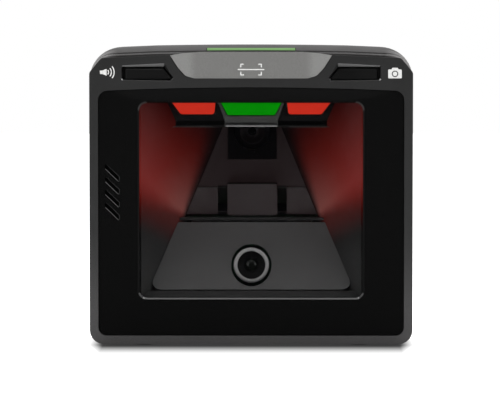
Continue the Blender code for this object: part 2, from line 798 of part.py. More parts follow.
def make_imager():
    """The main imager, in a black housing that faces down at the mirror."""
    place = tilted(*IMAGER_AT, 180 + CEILING_PITCH)
    half_x, half_y = IMAGER_HALF
    loop = rectangle(-half_x, -half_y, half_x, half_y, 0.6, 2)
    housing = flat("imager_housing", [loop], -9.0, 1.0, "satin_black", place)
    cut(housing, rod("imager_bore_cut", 8.9, -4.6, 5, matrix=place, steps=36))
    barrel = [
        (0, -1.6),
        (2.7, -1.6),
        (5.3, -0.1),
        (5.5, 0.5),
        (6.2, 0.5),
        (6.4, -1.4),
        (8.1, -1.4),
        (8.5, -1.8),
        (8.5, -4.3),
        (0, -4.3),
    ]
    turned("imager_barrel", barrel, "satin_black", place, 28)
    lens = [(0, -0.6), (1.2, -0.75), (2.0, -1.05), (2.0, -1.3), (0, -1.3)]
    turned("imager_lens", lens, "lens_glass", place, 20)
    board_loop = rectangle(-11.5, -13.5, 11.5, 13.5, 1, 3)
    flat("imager_board", [board_loop], -10.9, -9.3, "circuit_board", place)


# ---- lamps ----
def lamp_windows(inset=0.0):
    """Outlines of the left red lamp and of the green one, each cut off at the bar's top."""
    red = [
        (-39.2 + inset * 1.4, 116.0 - inset, 0.4),
        (-33.2 + inset, 107.6 + inset, 1.6),
        (-17.0 - inset, 107.6 + inset, 1.4),
        (-16.3 - inset, 116.0 - inset, 0.4),
    ]
    green = [
        (-15.6 + inset, 116.0 - inset, 0.4),
        (-11.2 + inset * 0.6, 107.3 + inset, 1.2),
        (11.2 - inset * 0.6, 107.3 + inset, 1.2),
        (15.6 - inset, 116.0 - inset, 0.4),
    ]
    return rounded(red, 4), rounded(green, 4)


def flipped(loop):
    return [(-x, z) for x, z in reversed(loop)]


def bezel_outline(grow, low, high):
    """The green lamp's bezel, upright below its knees and opening out above them."""
    half = BEZEL_HALF + grow
    right = [(half, low), (half, BEZEL_KNEE), (half + (high - BEZEL_KNEE) * BEZEL_SLANT, high)]
    return flipped(right) + right


def make_lamp_bar():
    """Three lit windows in a black bar, with a grey bezel round the middle one."""
    right = [(35.4, LAMP_BOTTOM), (35.4, 105.0), (41.2, LAMP_TOP)]
    outline = flipped(right) + right
    red, green = lamp_windows()
    loops = [outline, red, flipped(red), green]
    front, back = LAMP_Y, LAMP_Y + 3.2
    carrier = slab("lamp_carrier", loops, front, back, "satin_black")
    groove = block("lamp_groove_cut", (-50, front - 1, 103.0), (50, front + 1.1, 104.9))
    seat_loop = bezel_outline(GAP, LAMP_BOTTOM - 2, LAMP_TOP + 1)
    cut(carrier, groove, slab("lamp_bezel_seat_cut", [seat_loop], front - 2, front + 1.1))
    bezel_loop = bezel_outline(0.0, LAMP_BOTTOM + 0.4, LAMP_TOP)
    slab("lamp_bezel", [bezel_loop, green], front - 1.2, front + 0.8, "ring_metal")
    red_small, green_small = lamp_windows(GAP)
    slab("red_lamp_left", [red_small], front + 0.3, back - 0.2, "red_lens")
    slab("red_lamp_right", [flipped(red_small)], front + 0.3, back - 0.2, "red_lens")
    slab("green_lamp", [green_small], front - 0.9, back - 0.2, "green_lens")
    slab("lamp_board", [rectangle(-36, 105, 36, 117.5, 1, 3)], back + 0.4, back + 2.0, "circuit_board")


def make_lamp_bracket():
    """The shelf behind the lamps, which shows in the mirror: a middle block between two slots."""
    front, back = LAMP_Y + 5.6, CEILING_FRONT[0] - 0.5
    half = chamber_half(back, 0.35)
    right = [(half, front), (half, back), (16.9, back), (16.9, front + 1.2)]
    right += [(12.3, front + 1.2), (12.3, back)]
    loop = right + [(-x, y) for x, y in reversed(right)]
    shelf = flat("lamp_bracket", [loop], 106.5, 108.3, "chamber_plastic")
    lump = block("bracket_block", (-12.1, front + 0.2, 104.8), (12.1, CEILING_FRONT[0] + 1.9, 106.8))
    upright = block("bracket_upright", (-30, front, 106.6), (30, front + 1.6, 117.0))
    join(shelf, lump, upright)


# ---- electronics ----
def make_electronics():
    flat("main_board", [rectangle(-60, -29, 60, 25, 2, 3)], 12.0, BOARD_TOP, "circuit_board")
    low = BOARD_TOP + GAP
    block("shield_can", (24, -16, low), (52, 8, low + 3.5), "steel")
    make_jack("host_jack", HOST_SOCKET)
    make_jack("aux_jack", AUX_SOCKET)
    make_port_bay()
    make_flex()


def make_jack(name, socket):
    """A modular socket on the main board: a box with a mouth for the plug and a latch notch."""
    centre, width, height, mouth, latch = socket
    low = BOARD_TOP + GAP
    half = width / 2
    low_corner = (centre - half, 14.0, low)
    body = block(name, low_corner, (centre + half, JACK_FACE_Y, low + height), "satin_black")
    mouth_low = (centre - mouth / 2, 17.5, low + 4.2)
    latch_low = (centre - latch / 2, 17.5, low + 1.4)
    cut(body, block(name + "_mouth_cut", mouth_low, (centre + mouth / 2, 50, low + height - 1.6)))
    cut(body, block(name + "_latch_cut", latch_low, (centre + latch / 2, 50, low + 4.4)))


def make_port_bay():
    """A pocket in the housing's back, whose inner wall the sockets look out through."""
    bay = slab(
        "port_bay",
        [rectangle(-BAY_HALF, BAY_BOTTOM, BAY_HALF, BAY_TOP, 2.0, 3)],
        BAY_INNER_Y,
        42.6,
        "housing_plastic",
    )
    pocket = slab(
        "bay_pocket_cut",
        [rectangle(-BAY_HALF + 1.6, BAY_BOTTOM + 1.0, BAY_HALF - 1.6, BAY_TOP - 1.4, 1.0, 2)],
        BAY_INNER_Y + 1.6,
        60,
    )
    cut(bay, pocket)
    for name, (centre, width, height, *_) in (("host", HOST_SOCKET), ("aux", AUX_SOCKET)):
        half = width / 2 + GAP
        top = BOARD_TOP + 2 * GAP + height
        cut(bay, block(f"bay_{name}_cut", (centre - half, 20, BOARD_TOP), (centre + half, 60, top)))


def make_flex():
    """The imager's flat cable, down behind the mirror to the main board."""
    route = [(30.5, 127.1), (33.4, 125.6), (36.0, 121.5), (37.0, 114.0), (37.0, 60.0)]
    route += [(36.4, 48.0), (33.0, 40.0), (28.5, 34.0), (26.8, 28.0), (26.6, 18.0)]
    route += [(26.0, 14.9), (24.0, 14.1)]
    points = [Vector(p) for p in route]
    sides = ([], [])
    for k, point in enumerate(points):
        along = (points[min(k + 1, len(points) - 1)] - points[max(k - 1, 0)]).normalized()
        across = Vector((-along.y, along.x)) * 0.2
        sides[0].append(tuple(point + across))
        sides[1].append(tuple(point - across))
    flat("imager_flex", [sides[0] + sides[1][::-1]], -4.5, 4.5, "flex_film", facing_side())


def make_chassis():
    """The upright plate that carries the optics and takes the rear screws."""
    holes = [circle(x, z, 1.8, 16) for x, z in REAR_SCREW_AT]
    outline = rectangle(-38, 50, 38, 108, 3, 4)
    slab("chassis_plate", [outline, *holes], 33.4, 34.9, "steel")


# ---- speaker ----
def make_speaker():
    outer = stadium(SPEAKER_X, SPEAKER_Z, 8.3, 15.0)
    basket = slab("speaker_basket", [outer], -34.8, -27.0, "satin_black")
    inside = stadium(SPEAKER_X, SPEAKER_Z, 7.2, 13.9)
    place = Matrix.Translation((SPEAKER_X * MM, 0, SPEAKER_Z * MM)) @ facing_front()
    cut(basket, slab("basket_cut", [inside], -40, -28.6))
    cut(basket, rod("basket_hole_cut", 5.0, 20, 40, matrix=place))
    cone = slab("speaker_cone", [stadium(SPEAKER_X, SPEAKER_Z, 6.7, 13.4)], -33.9, -32.9, "satin_black")
    join(cone, rod("coil_former", 4.2, 28.2, 33.1, matrix=place))
    rod("speaker_magnet", 6.4, 21.5, 26.7, "steel", place)


def main():
    clear_scene()
    make_collections()
    make_front_bezel()
    make_brow_badge()
    make_face_plate()
    make_window()
    make_rear_housing()
    make_base()
    make_screws()
    make_status_pipe()
    make_buttons()
    make_button_board()
    make_chamber_walls()
    trim = make_chamber_front()
    make_mirror(trim)
    make_ceiling(trim)
    make_colour_camera()
    make_imager()
    make_lamp_bar()
    make_lamp_bracket()
    make_electronics()
    make_chassis()
    make_speaker()


main()
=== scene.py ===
"""The looks of a counter-top barcode scanner that reads through an upright window.

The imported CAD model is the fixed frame. Each CAD node that shows gets a skin, the same solid with
its edges rounded, or a finer piece of its own, and every piece gets a procedural material.
World units are metres, +Z up, and the window faces -Y. Names that end in _MM are millimetres.
"""

import json
import math

import bmesh
import bpy
from mathutils import Matrix, Vector
from mathutils.bvhtree import BVHTree


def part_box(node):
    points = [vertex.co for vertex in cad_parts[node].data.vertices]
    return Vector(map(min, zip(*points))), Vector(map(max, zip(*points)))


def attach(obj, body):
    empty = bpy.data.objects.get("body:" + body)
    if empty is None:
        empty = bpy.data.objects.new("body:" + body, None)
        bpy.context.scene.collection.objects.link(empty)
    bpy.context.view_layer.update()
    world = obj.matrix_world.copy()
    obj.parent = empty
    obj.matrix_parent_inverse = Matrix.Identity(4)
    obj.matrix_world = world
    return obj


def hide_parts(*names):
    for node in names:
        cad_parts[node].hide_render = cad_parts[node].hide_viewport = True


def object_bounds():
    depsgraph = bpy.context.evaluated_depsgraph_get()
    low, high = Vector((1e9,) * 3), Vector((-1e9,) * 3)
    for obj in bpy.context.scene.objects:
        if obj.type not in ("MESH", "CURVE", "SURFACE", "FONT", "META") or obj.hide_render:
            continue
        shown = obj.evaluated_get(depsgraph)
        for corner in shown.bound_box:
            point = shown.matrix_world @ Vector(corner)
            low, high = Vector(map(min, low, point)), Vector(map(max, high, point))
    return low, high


MM = 0.001

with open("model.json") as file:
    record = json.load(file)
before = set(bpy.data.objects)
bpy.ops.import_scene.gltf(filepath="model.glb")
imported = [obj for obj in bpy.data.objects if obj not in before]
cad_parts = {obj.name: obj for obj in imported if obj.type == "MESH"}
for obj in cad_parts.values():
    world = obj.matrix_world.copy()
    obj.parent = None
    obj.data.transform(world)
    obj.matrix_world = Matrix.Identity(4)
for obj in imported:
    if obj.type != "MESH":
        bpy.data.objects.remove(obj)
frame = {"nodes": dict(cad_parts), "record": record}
cad_low, cad_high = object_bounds()
body_of_node = {n: b for b, ns in frame["record"]["behaviour"]["bodies"].items() for n in ns}
slot_of_node = {s["node"]: s["material_slot"] for s in frame["record"]["subparts"]}


def node_mm(name):
    """The lowest and highest corner of a CAD node, in millimetres."""
    low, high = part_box(name)
    return low / MM, high / MM


# ---- settings of the camera and the studio ----
CAMERA_DISTANCE = 1.557
CAMERA_ELEVATION = math.radians(3.0)
CAMERA_AZIMUTH = math.radians(0.4)
CAMERA_TARGET = Vector((-0.0005, cad_low.y + 0.003, 0.0685))
CAMERA_LENS_MM = 241.7
CAMERA_SENSOR_MM = 36.0

# The light that the object gets from the room, from each side.
CEILING_LIGHT = 0.70
REAR_LIGHT = 0.30
SIDE_LIGHT = 0.80
FRONT_LIGHT = 0.035
LIGHT_AIM = Vector((0.0, 0.0, 0.07))

# The floor's soft shadow, in metres. The floor's own light grows from FLOOR_DIM to FLOOR_GLOW over
# the first range of distances from the scanner's footprint, and its paint from FLOOR_DARK to
# FLOOR_PALE over the second. Distances start this far inside the footprint, and they count several
# times at the sides and behind, where the shadow is narrower.
FLOOR_DIM, FLOOR_GLOW = 0.04, 0.98
FLOOR_SHADOW = (0.001, 0.045)
FLOOR_DARK, FLOOR_PALE = 0.05, 0.93
FLOOR_PAINT = (0.033, 0.073)
FLOOR_FRONT_INSET = 0.013
FLOOR_INSET = 0.0058
FLOOR_SIDES = 6.0
FLOOR_BACK = 5.0
# Behind this Y the footprint narrows like the housing: its half width shrinks by the square of the
# distance times this.
FLOOR_TAPER_FROM = -0.010
FLOOR_TAPER = 6.5


def make_camera():
    data = bpy.data.cameras.new("camera")
    camera = bpy.data.objects.new("camera", data)
    bpy.context.scene.collection.objects.link(camera)
    flat = math.cos(CAMERA_ELEVATION)
    across, along = math.sin(CAMERA_AZIMUTH) * flat, -math.cos(CAMERA_AZIMUTH) * flat
    back = Vector((across, along, math.sin(CAMERA_ELEVATION)))
    camera.location = CAMERA_TARGET + back * CAMERA_DISTANCE
    camera.rotation_euler = (-back).to_track_quat("-Z", "Y").to_euler()
    data.sensor_width = CAMERA_SENSOR_MM
    data.lens = CAMERA_LENS_MM
    bpy.context.scene.camera = camera


# ---- arithmetic in node trees ----
def smooth_range(tree, value, low, high):
    """A node that runs smoothly from 0 at low to 1 at high."""
    ramp = tree.nodes.new("ShaderNodeMapRange")
    ramp.interpolation_type = "SMOOTHSTEP"
    ramp.inputs["From Min"].default_value = low
    ramp.inputs["From Max"].default_value = high
    tree.links.new(value, ramp.inputs["Value"])
    return ramp.outputs["Result"]


def math_node(tree, operation, *values):
    made = tree.nodes.new("ShaderNodeMath")
    made.operation = operation
    for socket, value in zip(made.inputs, values):
        if isinstance(value, (int, float)):
            socket.default_value = value
        else:
            tree.links.new(value, socket)
    return made.outputs[0]


class Value:
    """A number that changes over a surface: a node's output that takes part in arithmetic."""

    def __init__(self, tree, output):
        self.tree = tree
        self.output = output

    def apply(self, operation, *others):
        values = [other.output if isinstance(other, Value) else other for other in others]
        return Value(self.tree, math_node(self.tree, operation, self.output, *values))

    def __add__(self, other):
        return self.apply("ADD", other)

    def __sub__(self, other):
        return self.apply("SUBTRACT", other)

    def __mul__(self, other):
        return self.apply("MULTIPLY", other)

    def __rsub__(self, other):
        return self.apply("MULTIPLY", -1.0).apply("ADD", other)

    def __abs__(self):
        return self.apply("ABSOLUTE")

    __radd__ = __add__
    __rmul__ = __mul__

    def ramp(self, low, high):
        """Smoothly from 0 at low to 1 at high."""
        return Value(self.tree, smooth_range(self.tree, self.output, low, high))

    def hypot(self, other):
        return (self * self + other * other).apply("SQRT")


def coordinates(tree, kind):
    """The shaded point or direction as three values."""
    split = tree.nodes.new("ShaderNodeSeparateXYZ")
    tree.links.new(tree.nodes.new("ShaderNodeTexCoord").outputs[kind], split.inputs[0])
    return [Value(tree, split.outputs[axis]) for axis in "XYZ"]


def grey(tone):
    return (tone, tone, tone)


# ---- studio ----
def make_world():
    """White behind the object, and for its light a bright ceiling, a pale back and a dark front."""
    world = bpy.data.worlds.new("studio")
    bpy.context.scene.world = world
    world.use_nodes = True
    tree = world.node_tree
    background = tree.nodes["Background"]
    across, along, up = coordinates(tree, "Generated")
    light = up.ramp(0.10, 0.85) * CEILING_LIGHT + along.ramp(0.0, 0.9) * REAR_LIGHT
    light = light + abs(across).ramp(0.45, 0.95) * SIDE_LIGHT + FRONT_LIGHT
    seen = tree.nodes.new("ShaderNodeLightPath").outputs["Is Camera Ray"]
    strength = tree.nodes.new("ShaderNodeMix")
    tree.links.new(seen, strength.inputs["Factor"])
    tree.links.new(light.output, strength.inputs["A"])
    strength.inputs["B"].default_value = 1.0
    tree.links.new(strength.outputs["Result"], background.inputs["Strength"])
    background.inputs["Color"].default_value = (1.0, 1.0, 1.0, 1.0)


def make_light(name, location, size, power):
    data = bpy.data.lights.new(name, "AREA")
    data.shape = "RECTANGLE"
    data.size, data.size_y = size
    data.energy = power
    light = bpy.data.objects.new(name, data)
    bpy.context.scene.collection.objects.link(light)
    light.location = location
    light.rotation_euler = (LIGHT_AIM - light.location).to_track_quat("-Z", "Y").to_euler()


def make_floor():
    """A sheet of white paper with a painted soft shadow: dark under the scanner, and glowing a little
    away from it.
    """
    work = bmesh.new()
    bmesh.ops.create_grid(work, x_segments=1, y_segments=1, size=3.0)
    floor = from_bmesh("floor", work)
    paint = Look("floor_paint", grey(FLOOR_PALE), 0.9, specular_ior_level=0.1)
    across, along, _ = coordinates(paint.tree, "Object")
    rearward = (along - FLOOR_TAPER_FROM).apply("MAXIMUM", 0.0)
    half = cad_high.x - FLOOR_INSET - rearward * rearward * FLOOR_TAPER
    beside = (abs(across) - half).apply("MAXIMUM", 0.0) * FLOOR_SIDES
    ahead = (-1.0 * along - cad_high.y + FLOOR_FRONT_INSET).apply("MAXIMUM", 0.0)
    behind = (along - cad_high.y + FLOOR_INSET).apply("MAXIMUM", 0.0) * FLOOR_BACK
    distance = beside + ahead + behind
    # Painted soft shadow: the glow and the paint are dim near the footprint.
    away = distance.ramp(*FLOOR_SHADOW) * (FLOOR_GLOW - FLOOR_DIM) + FLOOR_DIM
    paint.plug(away.output, "Emission Strength")
    paint.set("Emission Color", (1.0, 1.0, 1.0, 1.0))
    pale = paint.blend(distance.ramp(*FLOOR_PAINT).output, grey(FLOOR_DARK), grey(FLOOR_PALE))
    paint.plug(pale, "Base Color")
    floor.data.materials.append(paint.material)
    # Polished faces don't mirror the floor, as on a small white table in a dark room.
    floor.visible_glossy = False


def make_studio():
    make_floor()
    make_world()
    make_light("key_overhead", (0.0, -0.05, 0.95), (0.9, 0.5), 5.0)
    make_light("fill_left", (-0.85, -0.75, 0.20), (0.4, 0.7), 1.6)
    make_light("fill_right", (0.85, -0.75, 0.20), (0.4, 0.7), 1.6)
    bpy.context.scene.view_settings.view_transform = "Standard"


# ---- materials ----
class Look:
    """A material with a Principled BSDF, and short calls for the nodes that its pattern needs."""

    def __init__(self, name, colour, roughness, metallic=0.0, **sockets):
        self.material = bpy.data.materials.new(name)
        self.material.use_nodes = True
        self.tree = self.material.node_tree
        self.shader = self.tree.nodes["Principled BSDF"]
        self.set("Base Color", (*colour, 1.0))
        self.set("Roughness", roughness)
        self.set("Metallic", metallic)
        self.colour = colour
        for socket, value in sockets.items():
            self.set(socket.replace("_", " ").title().replace("Ior", "IOR"), value)

    def set(self, socket, value):
        self.shader.inputs[socket].default_value = value

    def plug(self, output, socket):
        self.tree.links.new(output, self.shader.inputs[socket])

    def place(self):
        """The point on the piece, in the object's own metres."""
        return self.tree.nodes.new("ShaderNodeTexCoord").outputs["Object"]

    def place_mm(self):
        """The place on the piece as three values, in millimetres."""
        return [value * (1.0 / MM) for value in coordinates(self.tree, "Object")]

    def noise(self, size_mm, detail=2.0, rough=0.5, stretch=None):
        texture = self.tree.nodes.new("ShaderNodeTexNoise")
        texture.inputs["Scale"].default_value = 1.0 / (size_mm * MM)
        texture.inputs["Detail"].default_value = detail
        texture.inputs["Roughness"].default_value = rough
        place = self.place()
        if stretch:
            scaling = self.tree.nodes.new("ShaderNodeMapping")
            scaling.inputs["Scale"].default_value = stretch
            self.tree.links.new(place, scaling.inputs["Vector"])
            place = scaling.outputs[0]
        self.tree.links.new(place, texture.inputs["Vector"])
        return texture.outputs["Fac"]

    def blend(self, factor, first, second):
        """A colour between two others."""
        mix = self.tree.nodes.new("ShaderNodeMix")
        mix.data_type = "RGBA"
        self.tree.links.new(factor, mix.inputs["Factor"])
        for socket, value in ((mix.inputs[6], first), (mix.inputs[7], second)):
            if isinstance(value, tuple):
                socket.default_value = (*value, 1.0)
            else:
                self.tree.links.new(value, socket)
        return mix.outputs[2]

    def product(self, first, second):
        """One colour times another."""
        mix = self.tree.nodes.new("ShaderNodeMix")
        mix.data_type = "RGBA"
        mix.blend_type = "MULTIPLY"
        mix.inputs["Factor"].default_value = 1.0
        self.tree.links.new(first, mix.inputs[6])
        self.tree.links.new(second, mix.inputs[7])
        return mix.outputs[2]

    def vary_colour(self, factor, amount):
        """The base colour from this much darker to this much lighter."""
        dark = tuple(c * (1 - amount) for c in self.colour)
        light = tuple(c * (1 + amount) for c in self.colour)
        self.plug(self.blend(factor, dark, light), "Base Color")

    def vary_roughness(self, factor, low, high):
        ramp = self.tree.nodes.new("ShaderNodeMapRange")
        ramp.inputs["From Min"].default_value = 0.3
        ramp.inputs["From Max"].default_value = 0.7
        ramp.inputs["To Min"].default_value = low
        ramp.inputs["To Max"].default_value = high
        self.tree.links.new(factor, ramp.inputs["Value"])
        self.plug(ramp.outputs["Result"], "Roughness")

    def bump(self, height, depth_mm):
        made = self.tree.nodes.new("ShaderNodeBump")
        made.inputs["Strength"].default_value = 1.0
        made.inputs["Distance"].default_value = depth_mm * MM
        self.tree.links.new(height, made.inputs["Height"])
        self.plug(made.outputs["Normal"], "Normal")

    def spread(self, factor, low=0.35, high=0.65):
        """Noise sits near its middle: this stretches it over 0 to 1."""
        return smooth_range(self.tree, factor, low, high)


def moulded(name, colour, roughness, grain_mm=0.35, speckle=0.16, depth_mm=0.012, **sockets):
    """Spark-eroded plastic: a fine even grain, a little uneven in tone over larger areas.

    With no speckle it stays in one tone, for a pattern that is plugged in afterwards.
    """
    look = Look(name, colour, roughness, **sockets)
    grain = look.noise(grain_mm, 2.0, 0.6)
    if speckle:
        spots = look.spread(grain)
        tone = math_node(look.tree, "MULTIPLY_ADD", look.noise(14.0, 2.0), 0.35, spots)
        look.vary_colour(math_node(look.tree, "MULTIPLY", tone, 0.8), speckle)
    look.vary_roughness(look.noise(9.0, 3.0), roughness - 0.05, roughness + 0.06)
    look.bump(grain, depth_mm)
    return look


# How the lamps' red light lies on the chamber's walls, in mm. The mirror throws it forward, and its
# foot, this far from the mirror's lowest corner, cuts the light off along a rising line.
SPILL_FOOT = (0.7, 1.6)
SPILL_RISE = 0.40
SPILL_STRENGTH = 0.178
# The cut is this soft at the mirror's foot, and softer by this share of the way to the window.
SPILL_BLUR, SPILL_BLUR_GROWTH = 1.8, 0.24
# The light fades beside the mirror's picture, over this width at the foot and wider above it.
SPILL_SIDE, SPILL_SIDE_GROWTH = 4.0, 0.30
# It fades by this share for each mm above the cut, and for each mm behind the window.
SPILL_FADE_UP, SPILL_FADE_BACK = 0.0186, 0.0075
# This share of it stops at the cut, and the rest reaches this far below.
SPILL_SHARP, SPILL_REACH = 0.72, -20.0


def red_spill(look):
    """The brightness of the red light on a chamber wall, how near the window, how near the foot."""
    window_y = node_mm("scan_window")[1].y
    mirror_low, mirror_high = node_mm("fold_mirror")
    foot_y, foot_z = mirror_low.y + SPILL_FOOT[0], mirror_low.z + SPILL_FOOT[1]
    lean = (mirror_high.y - mirror_low.y) / (mirror_high.z - mirror_low.z)
    _, y, z = look.place_mm()
    depth = y - window_y
    above = z - foot_z - (foot_y - y) * SPILL_RISE
    to_mirror = foot_y + (z - foot_z) * lean - y
    blur = (foot_y - y).apply("MAXIMUM", 0.0) * SPILL_BLUR_GROWTH + SPILL_BLUR
    direct = above.apply("DIVIDE", blur).ramp(-1.0, 1.0)
    edge = SPILL_SHARP * direct + (1.0 - SPILL_SHARP) * above.ramp(SPILL_REACH, -1.0)
    fade = 1.0 - above.apply("MAXIMUM", 0.0) * SPILL_FADE_UP
    soft_side = above.apply("MAXIMUM", 0.0) * SPILL_SIDE_GROWTH + SPILL_SIDE
    side = to_mirror.apply("DIVIDE", soft_side).ramp(-0.1, 1.0)
    strength = edge * fade.apply("MAXIMUM", 0.0) * (1.0 - depth * SPILL_FADE_BACK) * side
    near_window = depth.ramp(30.0, 2.0) * direct
    near_foot = (y - foot_y).hypot(z - foot_z).ramp(34.0, 2.0) * (direct * 0.7 + 0.3)
    return strength * SPILL_STRENGTH, near_window, near_foot


# The bracket's slots run on as painted dark grooves, painted shade, to its front edge, between these
# distances from the middle, and stop this far behind the edge, in mm.
SHADE_GROOVE_SIDES = (12.3, 16.9)
SHADE_GROOVE_END = 1.5
LAMP_GLOW = 0.009


def make_chamber_materials(looks):
    wall = moulded("chamber_wall", grey(0.018), 0.7, 0.5, 0.0, specular_ior_level=0.2)
    # The lamps' red light on the walls is painted as the walls' own glow: a painted pool of light,
    # pinker near the window and the mirror's foot.
    strength, near_window, near_foot = red_spill(wall)
    red = wall.blend(near_window.output, (1.0, 0.030, 0.012), (1.0, 0.105, 0.090))
    wall.plug(wall.blend(near_foot.output, red, (1.0, 0.28, 0.24)), "Emission Color")
    wall.plug(strength.output, "Emission Strength")
    # Less of the room's light reaches the top of the walls.
    low_wall = wall.place_mm()[2].ramp(75.0, 25.0)
    wall.plug(wall.blend(low_wall.output, grey(0.004), grey(0.024)), "Base Color")
    looks["chamber_wall"] = wall
    sill = moulded("chamber_dark", grey(0.022), 0.7, 0.5, 0.08, specular_ior_level=0.2)
    looks["chamber_dark"] = sill
    chin = moulded("chamber_plastic", (0.040, 0.039, 0.039), 0.6, 0.5, 0.0)
    # Painted light: the chin's colour is paler towards its top.
    high_chin = chin.place_mm()[2].ramp(26.0, 56.0)
    low_tone, high_tone = (0.040, 0.0395, 0.0395), (0.054, 0.053, 0.053)
    chin.plug(chin.blend(high_chin.output, low_tone, high_tone), "Base Color")
    looks["chamber_plastic"] = chin
    # The roof and the lamps' bracket show only in the mirror, and the lamps' light on them is painted
    # as a faint glow of their own.
    for name, speckle in (("chamber_roof", 0.08), ("lamp_bracket", 0.0)):
        roof = moulded(name, (0.062, 0.056, 0.056), 0.6, 0.5, speckle)
        roof.set("Emission Color", (1.0, 0.62, 0.60, 1.0))
        roof.set("Emission Strength", LAMP_GLOW)
        looks[name] = roof
    bracket = looks["lamp_bracket"]
    across, along, _ = bracket.place_mm()
    inner, outer = SHADE_GROOVE_SIDES
    end = node_mm("lamp_bracket")[0].y + SHADE_GROOVE_END
    # Painted shade along the grooves, where the painted lamp glow stops too.
    groove_shade = abs(across).ramp(inner - 0.1, inner + 0.1)
    groove_shade = groove_shade * (1.0 - abs(across).ramp(outer - 0.1, outer + 0.1))
    groove_shade = groove_shade * (1.0 - along.ramp(end - 0.1, end + 0.1))
    bracket.plug(bracket.blend(groove_shade.output, (0.060, 0.054, 0.054), grey(0.003)), "Base Color")
    bracket.plug(((1.0 - groove_shade) * LAMP_GLOW).output, "Emission Strength")


def make_badge_paint(looks):
    """Silver lacquer with a fine flake, painted paler where the panel's ends turn: a painted sheen."""
    badge = Look("badge_paint", (0.30, 0.298, 0.29), 0.34, 0.55)
    flake = badge.spread(badge.noise(0.22, 1.0))
    across, _, _ = badge.place_mm()
    half = node_mm("brow_badge")[1].x
    # Painted sheen: paler towards both ends of the panel.
    turn = abs(across).ramp(half * 0.66, half * 0.8)
    tone = badge.blend(turn.output, (0.33, 0.327, 0.318), (0.42, 0.418, 0.41))
    dark = badge.blend(turn.output, (0.27, 0.268, 0.26), (0.355, 0.353, 0.345))
    badge.plug(badge.blend(flake, dark, tone), "Base Color")
    badge.bump(flake, 0.004)
    looks["badge_paint"] = badge


def make_frame_plastic(looks):
    """The bezel's plastic is painted darkest near its top and palest at its foot: painted light from
    the floor below.
    """
    look = moulded("frame_plastic", grey(0.024), 0.55, speckle=0.0)
    height = look.place_mm()[2]
    tall = look.blend(height.ramp(50.0, 135.0).output, grey(0.0205), grey(0.0135))
    whole = look.blend(height.ramp(60.0, 0.0).output, tall, (0.062, 0.060, 0.061))
    grain = look.spread(look.noise(0.35, 2.0, 0.6))
    look.plug(look.product(whole, look.blend(grain, grey(0.82), grey(1.12))), "Base Color")
    looks["frame_plastic"] = look


def make_housing_plastic(looks):
    """Its front rim is paler at the corners, a painted highlight, and darker along the crown where it
    meets the bezel, a painted shade.
    """
    look = moulded("housing_plastic", (0.046, 0.043, 0.043), 0.48, speckle=0.0)
    across, along, up = look.place_mm()
    corner = abs(across).ramp(61.0, 71.0) * up.ramp(100.0, 120.0) * along.ramp(-26.0, -31.0)
    crown = up.ramp(125.0, 133.0) * along.ramp(-18.0, -32.0) * (1.0 - corner)
    tone = look.blend(crown.output, (0.045, 0.042, 0.042), (0.025, 0.023, 0.023))
    tone = look.blend(corner.output, tone, (0.185, 0.180, 0.180))
    grain = look.spread(look.noise(0.35, 2.0, 0.6))
    look.plug(look.product(tone, look.blend(grain, grey(0.86), grey(1.14))), "Base Color")
    looks["housing_plastic"] = look


def make_blacks(looks):
    """Black plastics, from satin to nearly lightless, the rubber and the two polished blacks. The
    nearly lightless one is painted shade in the lamp bar's groove, and the brow's polished black is a
    little paler, a painted reflection on its facet.
    """
    blacks = (
        # name, tone, roughness, grain in mm, speckle, bump in mm, specular level
        ("satin_black", 0.004, 0.35, 0.25, 0.15, 0.004, 0.3),
        ("rubber", 0.022, 0.8, 0.6, 0.2, 0.012, 0.5),
        ("groove_shade_black", 0.0018, 0.6, 0.35, 0.16, 0.012, 0.0),
        ("optics_black", 0.003, 0.55, 0.2, 0.1, 0.002, 0.15),
    )
    for name, tone, roughness, grain, speckle, depth, specular in blacks:
        looks[name] = moulded(
            name, grey(tone), roughness, grain, speckle, depth, specular_ior_level=specular
        )
    for name, tone in (("gloss_black", 0.0026), ("gloss_brow", 0.0042)):
        gloss = Look(name, grey(tone), 0.09, coat_weight=0.2, coat_roughness=0.03)
        gloss.vary_roughness(gloss.noise(22.0, 4.0), 0.06, 0.13)
        gloss.bump(gloss.noise(18.0, 1.0), 0.01)
        looks[name] = gloss


def make_glasses(looks):
    looks["window_glass"] = Look("window_glass", (0.01, 0.01, 0.012), 0.02, alpha=0.03)

    mirror = Look("mirror_silver", (0.72, 0.72, 0.74), 0.02, 1.0)
    mirror.vary_roughness(mirror.noise(12.0, 3.0), 0.015, 0.035)
    looks["mirror_silver"] = mirror

    colour = (0.004, 0.005, 0.004)
    lens = Look("lens_glass", colour, 0.2, specular_ior_level=0.15, coat_weight=0.1)
    lens.vary_colour(lens.noise(2.0, 1.0), 0.5)
    looks["lens_glass"] = lens


def make_metals(looks):
    ring = Look("ring_metal", grey(0.25), 0.45, 0.3)
    ring.vary_colour(ring.spread(ring.noise(0.3, 2.0)), 0.1)
    looks["ring_metal"] = ring

    gold = Look("contact_gold", (0.80, 0.55, 0.20), 0.25, 1.0)
    gold.vary_colour(gold.noise(0.8, 1.0), 0.1)
    looks["contact_gold"] = gold

    steel = Look("steel", (0.45, 0.45, 0.46), 0.32, 1.0)
    brushed = steel.noise(0.2, 3.0, 0.6, stretch=(0.02, 1.0, 1.0))
    steel.vary_roughness(brushed, 0.25, 0.42)
    steel.vary_colour(brushed, 0.15)
    looks["steel"] = steel


def make_electronics(looks):
    board = Look("circuit_board", (0.010, 0.075, 0.028), 0.35, coat_weight=0.4)
    board.vary_colour(board.spread(board.noise(1.3, 0.0), 0.48, 0.52), 0.25)
    looks["circuit_board"] = board

    film = Look("flex_film", (0.35, 0.14, 0.02), 0.35)
    film.vary_colour(film.spread(film.noise(0.5, 0.0, stretch=(1.0, 0.0, 0.0))), 0.3)
    looks["flex_film"] = film


